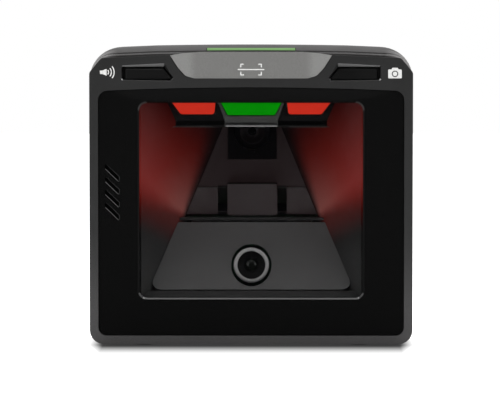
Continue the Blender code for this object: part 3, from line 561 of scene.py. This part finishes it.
# Painted highlights along edges, lips and bands, and small dark parts: one grey each.
EDGE_TONES = {
    "frame_edge": 0.09,
    "button_edge": 0.006,
    "rim_pale": 0.075,
    "rim_dim": 0.03,
    "lamp_edge": 0.34,
    "corner_dim": 0.02,
    "retainer": 0.013,
    "bar_line": 0.015,
    "band_pale": 0.10,
    "glint": 0.7,
    "imager_black": 0.007,
    "imager_ring": 0.09,
    "bezel_band": 0.004,
    "foot_pale": 0.07,
}


def make_materials():
    looks = {}
    make_frame_plastic(looks)
    make_housing_plastic(looks)
    make_blacks(looks)
    make_chamber_materials(looks)
    make_badge_paint(looks)
    make_glasses(looks)
    make_metals(looks)
    make_electronics(looks)
    looks["red_lens"] = lit("red_lens", (0.465, 0.021, 0.010), 1.0)
    looks["green_lens"] = lit("green_lens", (0.0, 0.208, 0.0), 1.0)
    looks["status_lens"] = lit("status_lens", (0.17, 0.34, 0.12), 0.84)
    for name, tone in EDGE_TONES.items():
        looks[name] = moulded(name, grey(tone), 0.4, 0.3, 0.1, 0.004)
    looks["lamp_frame"] = moulded("lamp_frame", (0.030, 0.031, 0.029), 0.5, 0.3, 0.1, 0.006)
    looks["print_white"] = moulded("print_white", (0.62, 0.62, 0.61), 0.5, 0.2, 0.04, 0.002)
    return {name: look.material for name, look in looks.items()}


def lit(name, colour, strength):
    """A translucent lens with a lamp behind it, a little brighter here and there."""
    look = Look(name, tuple(c * 0.2 for c in colour), 0.3, specular_ior_level=0.05)
    soft = look.noise(6.0, 1.0)
    glow = look.blend(soft, tuple(c * 0.9 for c in colour), tuple(c * 1.1 for c in colour))
    look.plug(glow, "Emission Color")
    look.set("Emission Strength", strength)
    return look


# ---- geometry helpers, in millimetres ----
def rounded(points, segments=8):
    """An outline from (x, y, radius) corners, each corner turned into an arc."""
    outline = []
    for i, (x, y, radius) in enumerate(points):
        corner = Vector((x, y))
        if radius <= 0:
            outline.append((x, y))
            continue
        before = (Vector(points[i - 1][:2]) - corner).normalized()
        after = (Vector(points[(i + 1) % len(points)][:2]) - corner).normalized()
        half = before.angle(after) / 2
        centre = corner + (before + after).normalized() * (radius / math.sin(half))
        start = corner + before * (radius / math.tan(half)) - centre
        end = corner + after * (radius / math.tan(half)) - centre
        sweep = start.angle_signed(end)
        for k in range(segments + 1):
            point = centre + Matrix.Rotation(-sweep * k / segments, 2) @ start
            outline.append((point.x, point.y))
    return outline


def rectangle(x0, y0, x1, y1, radius=0.0, segments=8):
    return rounded([(x, y, radius) for x, y in ((x0, y0), (x1, y0), (x1, y1), (x0, y1))], segments)


def circle(x, y, radius, steps=40):
    turns = [2 * math.pi * k / steps for k in range(steps)]
    return [(x + radius * math.cos(a), y + radius * math.sin(a)) for a in turns]


def arc_band(x, y, radius, width, half_angle, steps=14):
    """A curved stroke that is open to the left of its centre."""
    angles = [math.radians(half_angle * (2 * k / steps - 1)) for k in range(steps + 1)]
    sides = [
        [(x + reach * math.cos(a), y + reach * math.sin(a)) for a in angles]
        for reach in (radius + width / 2, radius - width / 2)
    ]
    return sides[0] + sides[1][::-1]


def facing_front(y=0.0):
    """Local X, Y are the row's X, Z, and local Z points to the front."""
    return Matrix.Translation((0, y * MM, 0)) @ Matrix.Rotation(math.pi / 2, 4, "X")


def new_object(name, mesh):
    obj = bpy.data.objects.new(name, mesh)
    bpy.context.scene.collection.objects.link(obj)
    return obj


def from_bmesh(name, work):
    mesh = bpy.data.meshes.new(name)
    work.to_mesh(mesh)
    work.free()
    return new_object(name, mesh)


def apply_modifiers(obj):
    graph = bpy.context.evaluated_depsgraph_get()
    mesh = bpy.data.meshes.new_from_object(obj.evaluated_get(graph), depsgraph=graph)
    obj.modifiers.clear()
    obj.data = mesh


def prism(name, loops, low, high, matrix=None):
    """A plate between two local heights, from outlines and the holes in them."""
    curve = bpy.data.curves.new(name, "CURVE")
    curve.dimensions = "2D"
    curve.fill_mode = "BOTH"
    curve.extrude = (high - low) / 2 * MM
    for loop in loops:
        spline = curve.splines.new("POLY")
        spline.points.add(len(loop) - 1)
        for point, (x, y) in zip(spline.points, loop):
            point.co = (x * MM, y * MM, 0, 1)
        spline.use_cyclic_u = True
    outline = new_object(name + "_outline", curve)
    graph = bpy.context.evaluated_depsgraph_get()
    mesh = bpy.data.meshes.new_from_object(outline.evaluated_get(graph), depsgraph=graph)
    bpy.data.objects.remove(outline)
    mesh.transform((matrix or Matrix.Identity(4)) @ Matrix.Translation((0, 0, (low + high) / 2 * MM)))
    work = bmesh.new()
    work.from_mesh(mesh)
    bmesh.ops.remove_doubles(work, verts=work.verts, dist=1e-6)
    bmesh.ops.recalc_face_normals(work, faces=work.faces)
    return from_bmesh(name, work)


def turned(name, profile, matrix, steps=64):
    """A round piece from (radius, height) points that run down its outer side."""
    mesh = bpy.data.meshes.new(name)
    points = [(r * MM, 0, h * MM) for r, h in profile]
    mesh.from_pydata(points, [(i, i + 1) for i in range(len(points) - 1)], [])
    obj = new_object(name, mesh)
    screw = obj.modifiers.new("turn", "SCREW")
    screw.steps = screw.render_steps = steps
    screw.use_merge_vertices = True
    screw.merge_threshold = 1e-6
    apply_modifiers(obj)
    obj.data.transform(matrix)
    return obj


def carve(obj, cutters):
    """Take the cutters out of the object."""
    for cutter in cutters:
        modifier = obj.modifiers.new("carve", "BOOLEAN")
        modifier.operation = "DIFFERENCE"
        modifier.object = cutter
        modifier.solver = "EXACT"
    apply_modifiers(obj)
    for cutter in cutters:
        bpy.data.objects.remove(cutter)


def smooth(obj):
    for face in obj.data.polygons:
        face.use_smooth = True


# ---- pieces ----
def show(obj, body, slot, *replaced):
    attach(obj, body)
    if replaced:
        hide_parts(*replaced)


def clean_copy(name, source):
    """The node's mesh as a new object, welded, with its flat faces whole again."""
    work = bmesh.new()
    work.from_mesh(source.data)
    bmesh.ops.remove_doubles(work, verts=work.verts, dist=1e-6)
    bmesh.ops.dissolve_limit(work, angle_limit=math.radians(0.6), verts=work.verts, edges=work.edges)
    for face in work.faces:
        face.smooth = True
    return from_bmesh(name, work)


def round_edges(obj, width_mm, segments=3, angle=30.0):
    bevel = obj.modifiers.new("round_edges", "BEVEL")
    bevel.width = width_mm * MM
    bevel.segments = segments
    bevel.limit_method = "ANGLE"
    bevel.angle_limit = math.radians(angle)
    bevel.miter_outer = "MITER_ARC"
    flat_shaded(obj)


def flat_shaded(obj):
    """Large faces look flat and only the narrow ones between them look round."""
    shading = obj.modifiers.new("flat_shading", "WEIGHTED_NORMAL")
    shading.mode = "FACE_AREA"
    shading.weight = 100
    shading.keep_sharp = True


def make_skin(node, width_mm, material=None):
    """The node's own solid with rounded edges."""
    obj = clean_copy(node + "_skin", frame["nodes"][node])
    slot = slot_of_node[node]
    obj.data.materials.append(materials[material or slot])
    if width_mm:
        round_edges(obj, width_mm)
    else:
        flat_shaded(obj)
    show(obj, body_of_node[node], slot, node)
    return obj


def paint_faces(obj, material, wanted):
    """Another material on the faces for which wanted(middle in mm, normal) is true."""
    if obj.modifiers:
        apply_modifiers(obj)
    obj.data.materials.append(materials[material])
    index = len(obj.data.materials) - 1
    for face in obj.data.polygons:
        if wanted(face.center / MM, face.normal):
            face.material_index = index


def make_skins():
    """(node, edge radius in mm): the pieces that show, from outside or through the window."""
    plain = [
        ("brow_badge", 0.2),
        ("window_gasket", 0.0),
        ("base_plate", 0.15),
        ("chin_panel", 0.2),
        ("red_lamp_left", 0.1),
        ("red_lamp_right", 0.1),
        ("green_lamp", 0.1),
        ("host_jack", 0.15),
        ("aux_jack", 0.15),
        ("port_bay", 0.0),
        ("speaker_cone", 0.2),
    ]
    plain += [(name, 0.2) for name in frame["nodes"] if name.startswith("foot_")]
    for node, width in plain:
        make_skin(node, width)
    make_skin("status_light_pipe", 0.15, "status_lens")
    make_skin("chamber_ceiling", 0.2, "chamber_roof")
    make_skin("chamber_sill", 0.15, "chamber_dark")
    make_skin("mirror_retainer", 0.12, "retainer")
    make_skin("imager_housing", 0.2, "imager_black")
    make_skin("chamber_wall_left", 0.1, "chamber_wall")
    make_skin("chamber_wall_right", 0.1, "chamber_wall")
    make_front_skins()
    make_lamp_skins()


# In mm: how far inside the glass the face plate's opening lies, at the sides and at the foot, and
# the height of its rounded upper corners.
OPENING_SIDE, OPENING_FOOT = 2.5, 2.6
OPENING_CORNER = 9.0


def paint_bezel_edges(bezel):
    """Painted highlights: the brow's upper edges, the band over each button, lit from below, and a
    glint at its outer lower corner.
    """
    low, high = node_mm("volume_button")
    reach = abs(low.x)

    def brow_edge(at, turn):
        return 0.3 < turn.z < 0.98 and turn.y < -0.15 and at.z > 110

    def over_button(at, turn):
        above = abs(at.x) < reach + 1 and abs(at.z - high.z) < 2
        return above and turn.z < -0.15 and turn.y < -0.1 and abs(turn.x) < 0.3

    def glint(at, turn):
        corner = reach - 2.2 < abs(at.x) < reach and abs(at.z - low.z) < 0.8
        return corner and turn.z > 0.2 and turn.y < -0.1

    paint_faces(bezel, "frame_edge", brow_edge)
    paint_faces(bezel, "band_pale", over_button)
    paint_faces(bezel, "glint", glint)


def paint_plate_edges(plate):
    """The face plate's brow facet, painted paler as a painted reflection, and the edges round its
    opening, with painted highlights along its foot and upper corners.
    """
    low, high = node_mm("scan_window")
    opening = high.x - OPENING_SIDE
    foot = low.z + OPENING_FOOT
    corner_z = high.z - OPENING_CORNER

    def on_edge(turn):
        return -0.97 < turn.y < -0.05

    def window_foot(at, turn):
        straight = abs(at.x) < opening - 2 and abs(at.z - foot) < 0.8
        return straight and turn.z > 0.2 and turn.y < -0.05

    def brow_facet(at, turn):
        return at.z > high.z - 4 and abs(turn.z) > 0.02 and turn.y < -0.7

    def window_corner(at, turn):
        high_corner = opening - 7 < abs(at.x) < opening + 2 and corner_z < at.z < high.z
        return high_corner and on_edge(turn)

    def window_side(at, turn):
        beside = abs(abs(at.x) - opening) < 3 and foot + 1.1 < at.z < corner_z
        return beside and on_edge(turn) and abs(turn.z) < 0.3

    paint_faces(plate, "foot_pale", window_foot)
    paint_faces(plate, "gloss_brow", brow_facet)
    paint_faces(plate, "corner_dim", window_corner)
    paint_faces(plate, "optics_black", window_side)


def make_front_skins():
    """The bezel, the buttons and the plate, with painted highlights along their edges."""
    paint_bezel_edges(make_skin("front_bezel", 0.4))
    for node in ("volume_button", "camera_button"):
        button = make_skin(node, 0.4)
        # A painted highlight along each button's upper edges.
        paint_faces(button, "button_edge", lambda at, turn: turn.z > 0.25 and turn.y < -0.2)
    paint_plate_edges(make_skin("face_plate", 0.3))
    make_slot_rims()


def make_strip(name, node, material, outline, low, high, matrix=None):
    """A thin bright or dark line along an edge."""
    strip = prism(name, [outline], low, high, matrix)
    strip.data.materials.append(materials[material])
    show(strip, body_of_node[node], slot_of_node[node])


# The speaker's slots: the middle of the top one, the step down to the next, and their slanted shape.
SLOT_AT = (-64.4, 81.0)
SLOT_COUNT = 4
SLOT_STEP = 5.96
SLOT_REACH, SLOT_FALL, SLOT_HALF = 3.4, 3.15, 1.5
# The rims start this far below the plate's front and are this thick.
RIM_DEPTH, RIM_THICK = 0.85, 0.8
# (side, material, width): the rim, a painted highlight, is brighter along a slot's lower side, dimmer
# along its upper.
RIM_SIDES = ((-1, "rim_pale", 0.36), (1, "rim_dim", 0.30))
RIM_END = 0.25


def make_slot_rims():
    """Painted highlights: thin pale edges just inside each slot, along its two long sides and its lower
    end.
    """
    x = SLOT_AT[0]
    front = front_of("face_plate")((x + 7) * MM, SLOT_AT[1] * MM) / MM
    place = facing_front(front + RIM_DEPTH)
    for k in range(SLOT_COUNT):
        z = SLOT_AT[1] - SLOT_STEP * k
        for side, material, width in RIM_SIDES:
            edge = SLOT_HALF * side
            rim = [(x - SLOT_REACH + 0.2, z + SLOT_FALL + edge)]
            rim.append((x + SLOT_REACH - 0.05, z - SLOT_FALL + edge))
            rim += [(px, pz - side * width) for px, pz in reversed(rim)]
            make_strip(f"slot_rim_{k}_{side}", "face_plate", material, rim, 0, RIM_THICK, place)
        low = z - SLOT_FALL - SLOT_HALF + 0.2
        end = [(x + SLOT_REACH - RIM_END, low), (x + SLOT_REACH, low)]
        end += [(px, pz + 2 * SLOT_HALF - 0.4) for px, pz in reversed(end)]
        make_strip(f"slot_end_{k}", "face_plate", "rim_dim", end, 0, RIM_THICK, place)


# The lamps, in mm. The bar's groove over its lower edge: its floor's lowest and highest point above the
# bar's foot, and its depth. The bezel's pale line, a painted highlight, and its dark band: height above
# its foot, width.
BAR_GROOVE, BAR_GROOVE_DEPTH = (1.25, 3.05), 1.1
BEZEL_LINES = (("bezel_line", "band_pale", 0.35, 0.4), ("bezel_band", "bezel_band", 0.8, 1.0))
BEZEL_LINE_HALF = 11.9
BRACKET_SHELF_Z = 106.4
BRACKET_DARK_Z = 108.2
LINE_THICK = 0.1


def lower_edge(at, turn):
    return turn.z < -0.3 and turn.y < -0.15 and abs(turn.x) < 0.3


def mirrored(name, node, material, near_x, far_x, low, high, *place):
    """A strip on each side of the middle."""
    for side in (-1, 1):
        left, right = sorted((near_x * side, far_x * side))
        outline = rectangle(left, low, right, high)
        make_strip(f"{name}_{side}", node, material, outline, *place)


def make_lamp_bezel():
    # A painted highlight along the bezel's lower edge.
    paint_faces(make_skin("lamp_bezel", 0.4, "lamp_frame"), "lamp_edge", lower_edge)
    low, _ = node_mm("lamp_bezel")
    place = facing_front(low.y)
    for name, material, rise, width in BEZEL_LINES:
        foot = low.z + rise
        line = rectangle(-BEZEL_LINE_HALF, foot, BEZEL_LINE_HALF, foot + width)
        make_strip(name, "lamp_bezel", material, line, 0, LINE_THICK, place)


def make_lamp_carrier():
    """The black bar, with a dim painted highlight along its lower edge and painted shade in its groove,
    which is nearly lightless.
    """
    node = "lamp_carrier"
    carrier = make_skin(node, 0.3, "optics_black")
    paint_faces(carrier, "rim_pale", lower_edge)
    low, _ = node_mm(node)
    bottom, top = (low.z + height for height in BAR_GROOVE)
    paint_faces(carrier, "groove_shade_black", lambda at, turn: bottom - 0.15 < at.z < top + 0.15)
    place = facing_front(low.y)
    mirrored("bar_edge", node, "bar_line", 18.0, 36.5, low.z, low.z + 0.4, 0, LINE_THICK, place)
    place = facing_front(low.y + BAR_GROOVE_DEPTH)
    mirrored("groove_floor", node, "groove_shade_black", 12.9, 35.2, bottom, top, 0, LINE_THICK, place)


def make_lamp_bracket():
    """The lamps' bracket, dark above its shelf, with a pale line along the shelf's back edge, a painted
    highlight, and a dark strip over its block, a painted shadow line.
    """
    node = "lamp_bracket"
    bracket = make_skin(node, 0.3, "lamp_bracket")
    paint_faces(bracket, "optics_black", lambda at, turn: at.z > BRACKET_DARK_Z)
    low, high = node_mm(node)
    back, far = high.y - 2.4, high.x - 3.5
    levels = (BRACKET_SHELF_Z, BRACKET_SHELF_Z + LINE_THICK)
    mirrored("ledge_edge", node, "rim_pale", 12.4, far, back - 0.45, back, *levels)
    gap = rectangle(-12.1, high.y, 12.1, high.y + 0.5)
    make_strip("block_gap", node, "optics_black", gap, low.z, low.z + 0.6)


def make_lamp_skins():
    make_lamp_bezel()
    make_lamp_carrier()
    make_lamp_bracket()


# ---- the rear housing, finer than its CAD solid ----
# (y, half width, top, corner radius, foot radius) in mm
HOUSING_SECTIONS = (
    (-33.95, 75.0, 137.2, 11.0, 6.5),
    (-31.0, 75.0, 138.6, 12.0, 6.5),
    (-26.0, 75.0, 139.8, 13.2, 6.5),
    (-16.0, 74.8, 140.4, 14.4, 6.5),
    (0.0, 74.0, 140.1, 15.6, 6.5),
    (14.0, 72.2, 138.0, 17.0, 6.5),
    (26.0, 68.8, 133.8, 18.4, 6.5),
    (34.0, 65.0, 129.0, 19.4, 6.5),
    (38.7, 61.9, 124.9, 19.7, 6.5),
    (41.5, 58.9, 121.2, 19.4, 6.2),
    (42.7, 56.5, 118.4, 18.8, 5.6),
    (43.0, 54.3, 116.0, 18.0, 5.0),
)
HOUSING_WALL = 2.4
HOUSING_FOOT = 1.4
LIP_RADIUS = 1.3
CLEARANCE = 0.3
VENT_ROWS = 6
VENT_PITCH = 6.5


def between(first, before, after, last, share):
    """A smooth curve's value between its second and third point."""
    slope_in, slope_out = (after - first) / 2, (last - before) / 2
    bend = 3 * (after - before) - 2 * slope_in - slope_out
    twist = 2 * (before - after) + slope_in + slope_out
    return before + share * (slope_in + share * (bend + share * twist))


def housing_sections():
    """The sections above, with smooth steps between them."""
    rows = HOUSING_SECTIONS
    sections = []
    for k in range(len(rows) - 1):
        around = [rows[max(0, k - 1)], rows[k], rows[k + 1], rows[min(len(rows) - 1, k + 2)]]
        steps = 4 if rows[k + 1][0] - rows[k][0] > 2 else 2
        for step in range(steps):
            y = rows[k][0] + step / steps * (rows[k + 1][0] - rows[k][0])
            sections.append((y, *(between(*values, step / steps) for values in list(zip(*around))[1:])))
    return sections + [rows[-1]]


def housing_ring(section, inset, y=None):
    """One closed ring, with a slight crown across its top, this far inside the section."""
    at, half, top, radius, foot_radius = section
    half, top = min(half, cad_high.x / MM) - inset, min(top, cad_high.z / MM) - inset
    low = HOUSING_FOOT + inset + max(0.0, at - 41.0)
    crown = [(half * k / 10, top - 0.012 * k * k, 0.0) for k in range(6, -7, -1)]
    corners = [(-half, low, foot_radius - inset), (half, low, foot_radius - inset)]
    corners += [(half, top - 1.7, radius - inset), *crown, (-half, top - 1.7, radius - inset)]
    return [Vector((x, at if y is None else y, z)) * MM for x, z in rounded(corners, 12)]


def housing_rings():
    """The inside from back to front, a rolled lip, and the outside from front to back."""
    sections = housing_sections()
    front, back = sections[0][0], sections[-1][0]
    squeeze = (back - HOUSING_WALL - front) / (back - front)
    inside = [
        housing_ring(row, HOUSING_WALL, front + (row[0] - front) * squeeze)
        for row in reversed(sections)
    ]
    lip = []
    for k in range(6):
        turn = math.radians(90 * k / 6)
        ahead = front + LIP_RADIUS * (1 - math.sin(turn))
        lip.append(housing_ring(sections[0], LIP_RADIUS * (1 - math.cos(turn)), ahead))
    outside = [housing_ring(row, 0.0) for row in sections if row[0] > front + LIP_RADIUS]
    return inside + lip[::-1] + outside


def grown(node):
    """The node's lowest and highest corner, with the usual gap round it."""
    gap = Vector((CLEARANCE, CLEARANCE, CLEARANCE))
    low, high = node_mm(node)
    return low - gap, high + gap


def vent_cutters():
    return [
        prism("vent", [rectangle(x - 10.5, z, x + 10.5, z + 2.4, 1.19)], -60, -36, facing_front())
        for x in (-15.5, 15.5)
        for z in (56.0 + VENT_PITCH * k for k in range(VENT_ROWS))
    ]


def make_rear_housing():
    work = bmesh.new()
    rows = [[work.verts.new(point) for point in ring] for ring in housing_rings()]
    for near, far in zip(rows, rows[1:]):
        for i in range(len(near)):
            j = (i + 1) % len(near)
            work.faces.new((near[i], near[j], far[j], far[i]))
    work.faces.new(rows[0])
    work.faces.new(rows[-1])
    bmesh.ops.recalc_face_normals(work, faces=work.faces)
    housing = from_bmesh("rear_housing_shell", work)

    low, high = grown("base_plate")
    seat = rectangle(low.x, low.y, high.x, high.y, 6.3)
    cutters = [prism("base_seat", [seat], -1, high.z)]
    low, high = grown("port_bay")
    ports = rectangle(low.x, low.z, high.x, high.z, 2.3)
    cutters.append(prism("ports", [ports], -60, -30, facing_front()))
    low, high = grown("status_light_pipe")
    slot = rectangle(low.x, low.y, high.x, high.y)
    cutters.append(prism("pipe_slot", [slot], 130, 150))
    for name in ("rear_screw_1", "rear_screw_2"):
        low, high = node_mm(name)
        x, z = (low.x + high.x) / 2, (low.z + high.z) / 2
        cutters.append(prism("screw_seat", [circle(x, z, 3.4)], -50, -41.6, facing_front()))
        cutters.append(prism("screw_bore", [circle(x, z, 1.9, 24)], -50, -30, facing_front()))
    smooth(housing)
    carve(housing, cutters + vent_cutters())
    finished(housing, "rear_housing", "housing_plastic", 0.35, 35.0)


def finished(obj, node, material, width_mm=0.0, angle=30.0, segments=3):
    """Material, rounded edges, and the node that the piece stands for."""
    smooth(obj)
    obj.data.materials.clear()
    obj.data.materials.append(materials[material])
    if width_mm:
        round_edges(obj, width_mm, segments, angle)
    show(obj, body_of_node[node], slot_of_node[node], node)


# ---- screws ----
def make_screw(node, matrix, length):
    """A domed pan head with a cross recess, head towards local -Z and its face at 0."""
    head, shank, height, edge = 2.9, 1.4, 1.0, 0.45
    dome = [(head * k / 8, edge * (k / 8) ** 2) for k in range(8, -1, -1)]
    profile = [(0, length), (shank - 0.5, length), (shank, length - 0.5)]
    profile += [(shank, height), (head, height)]
    screw = turned(node + "_fine", profile + dome, matrix, 36)
    arms = ((0.35, 1.5), (1.5, 0.35))
    outlines = [rectangle(-x, -y, x, y, 0.15, 3) for x, y in arms]
    carve(screw, [prism("cross", [outline], -1, 0.6, matrix) for outline in outlines])
    finished(screw, node, "steel", 0.06, 40.0, 2)


def make_screws():
    for node in frame["nodes"]:
        low, high = node_mm(node)
        middle = (low + high) / 2
        if node.startswith("base_screw"):
            place = Matrix.Translation(Vector((middle.x, middle.y, low.z)) * MM)
            make_screw(node, place, high.z - low.z)
        elif node.startswith("rear_screw"):
            place = Matrix.Translation(Vector((middle.x, high.y, middle.z)) * MM)
            make_screw(node, place @ Matrix.Rotation(math.pi / 2, 4, "X"), high.y - low.y)


# ---- the two cameras ----
def stepped(outer, inner, count):
    """Baffle steps from an inner (radius, height) point out to an outer one."""
    points = []
    rise = outer[1] - inner[1]
    for k in range(count):
        radius = inner[0] + (outer[0] - inner[0]) * (k + 1) / count
        for step in (k, k + 1):
            points.append((radius - 0.02 * (k + 1 - step), inner[1] + rise * step / count))
    return points


def dome(radius, top, edge, steps=12):
    """The front of a lens, from its middle to its edge."""
    rise = top - edge
    ball = (radius * radius + rise * rise) / (2 * rise)
    turns = [math.asin(radius / ball) * k / steps for k in range(steps + 1)]
    return [(ball * math.sin(a), top - ball * (1 - math.cos(a))) for a in turns]


def make_cameras():
    low, high = node_mm("camera_trim_ring")
    front = Matrix.Translation((0, low.y * MM, (low.z + high.z) / 2 * MM)) @ facing_front()
    ring = [(6.55, -0.75), (6.6, -0.3), (6.75, 0), (8.1, 0), (8.3, -0.15), (8.3, -0.75), (6.55, -0.75)]
    finished(turned("camera_trim_ring_fine", ring, front), "camera_trim_ring", "ring_metal")
    barrel = [(0, -3.4), (3.3, -3.4), *stepped((6.2, -1.1), (3.3, -3.4), 6)]
    barrel += [(8.0, -1.1), (8.0, -13.0), (0, -13.0)]
    finished(turned("camera_barrel_fine", barrel, front), "camera_barrel", "optics_black")
    lens = [*dome(2.9, -1.6, -2.8), (2.9, -3.1), (0, -3.1)]
    finished(turned("camera_lens_fine", lens, front), "camera_lens", "lens_glass")

    low, high = node_mm("imager_barrel")
    tilt = Matrix.Rotation(math.radians(200.0), 4, "X")
    down = Matrix.Translation((low + high) / 2 * MM) @ tilt @ Matrix.Translation((0, 0, 1.9 * MM))
    barrel = [(0, -1.6), (2.7, -1.6), *stepped((5.3, -0.1), (2.7, -1.6), 5), (5.5, 0.5), (6.2, 0.5)]
    barrel += [(6.4, -1.4), (8.1, -1.4), (8.5, -1.8), (8.5, -4.3), (0, -4.3)]
    finished(turned("imager_barrel_fine", barrel, down), "imager_barrel", "imager_ring")
    lens = [*dome(2.0, -0.6, -1.05), (2.0, -1.3), (0, -1.3)]
    finished(turned("imager_lens_fine", lens, down), "imager_lens", "lens_glass")


# ---- printed marks ----
def front_of(node):
    """The node's front surface, as the Y under a point (x, z), all in metres."""
    mesh = frame["nodes"][node].data
    tree = BVHTree.FromPolygons([v.co for v in mesh.vertices], [p.vertices for p in mesh.polygons])

    def surface(x, z):
        hit = tree.ray_cast(Vector((x, -1.0, z)), Vector((0, 1, 0)))[0]
        return hit.y if hit else None

    return surface


INK_DEPTH = 0.05


def make_print(name, node, loops, x, z):
    """White ink on a node's front: outlines round (x, z), laid on the surface under each point."""
    place = Matrix.Translation((x * MM, 0, z * MM)) @ facing_front()
    ink = prism(name, loops, -INK_DEPTH, INK_DEPTH, place)
    surface = front_of(node)
    for vertex in ink.data.vertices:
        vertex.co.y += surface(vertex.co.x, vertex.co.z)
    ink.data.materials.append(materials["print_white"])
    show(ink, body_of_node[node], "badge_paint")


def make_prints():
    speaker = [(-3.4, -0.8), (-2.3, -0.8), (-0.3, -1.6), (-0.3, 1.6), (-2.3, 0.8), (-3.4, 0.8)]
    waves = [arc_band(-1.0, 0, radius, 0.5, 40) for radius in (1.6, 2.9, 4.2)]
    low, high = node_mm("volume_button")
    button_z = (low.z + high.z) / 2
    make_print("speaker_pictogram", "front_bezel", [speaker, *waves], -66.6, button_z + 0.3)
    body = [(-3.15, -2.4, 0.35), (3.15, -2.4, 0.35), (3.15, 1.7, 0.35), (1.7, 1.7, 0), (1.2, 2.5, 0.2)]
    body += [(-1.2, 2.5, 0.2), (-1.7, 1.7, 0), (-3.15, 1.7, 0.35)]
    loops = [rounded(body, 4), circle(0, -0.3, 1.5), circle(0, -0.3, 1.05)]
    make_print("camera_pictogram", "front_bezel", loops, 66.6, button_z - 0.1)
    make_print("scan_mark", "brow_badge", scan_mark(), 0.0, 129.0)


def scan_mark():
    """A plain scan symbol: four corner brackets and a level line through them."""
    half_x, half_z, arm, line = 5.0, 2.7, 1.7, 0.5
    corner = [(half_x, half_z), (half_x - arm, half_z), (half_x - arm, half_z - line)]
    corner += [(half_x - line, half_z - line), (half_x - line, half_z - arm), (half_x, half_z - arm)]
    loops = [[(x * side, z * height) for x, z in corner] for side in (-1, 1) for height in (-1, 1)]
    return loops + [rectangle(-half_x - 1.2, -line / 2, half_x + 1.2, line / 2, 0.24, 4)]


# ---- socket contacts, in mm ----
CONTACT_WIDTH, CONTACT_THICK = 0.38, 0.3
CONTACT_DROP = 2.6
CONTACT_SPREAD = 0.86


def make_contacts(opening, node, count):
    """Sprung wires under a modular socket's top, sloping down towards its back."""
    low, high = (Vector(corner) / MM for corner in opening["box_m"])
    front, back = node_mm(node)[1].y - 1.2, low.y + 1.0
    slope = Matrix.Rotation(math.atan2(CONTACT_DROP, front - back), 4, "X")
    length = math.hypot(front - back, CONTACT_DROP)
    size = Matrix.Diagonal((CONTACT_WIDTH * MM, length * MM, CONTACT_THICK * MM, 1))
    pitch = (high.x - low.x) * CONTACT_SPREAD / count
    work = bmesh.new()
    for k in range(count):
        x = (low.x + high.x) / 2 + (k - (count - 1) / 2) * pitch
        place = Matrix.Translation(Vector((x, (front + back) / 2, high.z - 1.6)) * MM)
        bmesh.ops.create_cube(work, size=1.0, matrix=place @ slope @ size)
    wires = from_bmesh(node + "_contacts", work)
    wires.data.materials.append(materials["contact_gold"])
    round_edges(wires, 0.08, 2)
    show(wires, body_of_node[node], "steel")


def make_socket_contacts():
    openings = {opening["name"]: opening for opening in frame["record"]["physics"]["openings"]}
    make_contacts(openings["host_socket"], "host_jack", 10)
    make_contacts(openings["aux_socket"], "aux_jack", 6)


def dress_hidden_nodes():
    """The CAD nodes that nothing replaces keep their own mesh and get the finished materials."""
    for name, obj in frame["nodes"].items():
        if obj.hide_render:
            continue
        obj.data.materials.clear()
        obj.data.materials.append(materials[slot_of_node[name]])


make_camera()
make_studio()
materials = make_materials()
make_skins()
make_rear_housing()
make_screws()
make_cameras()
make_prints()
make_socket_contacts()
dress_hidden_nodes()
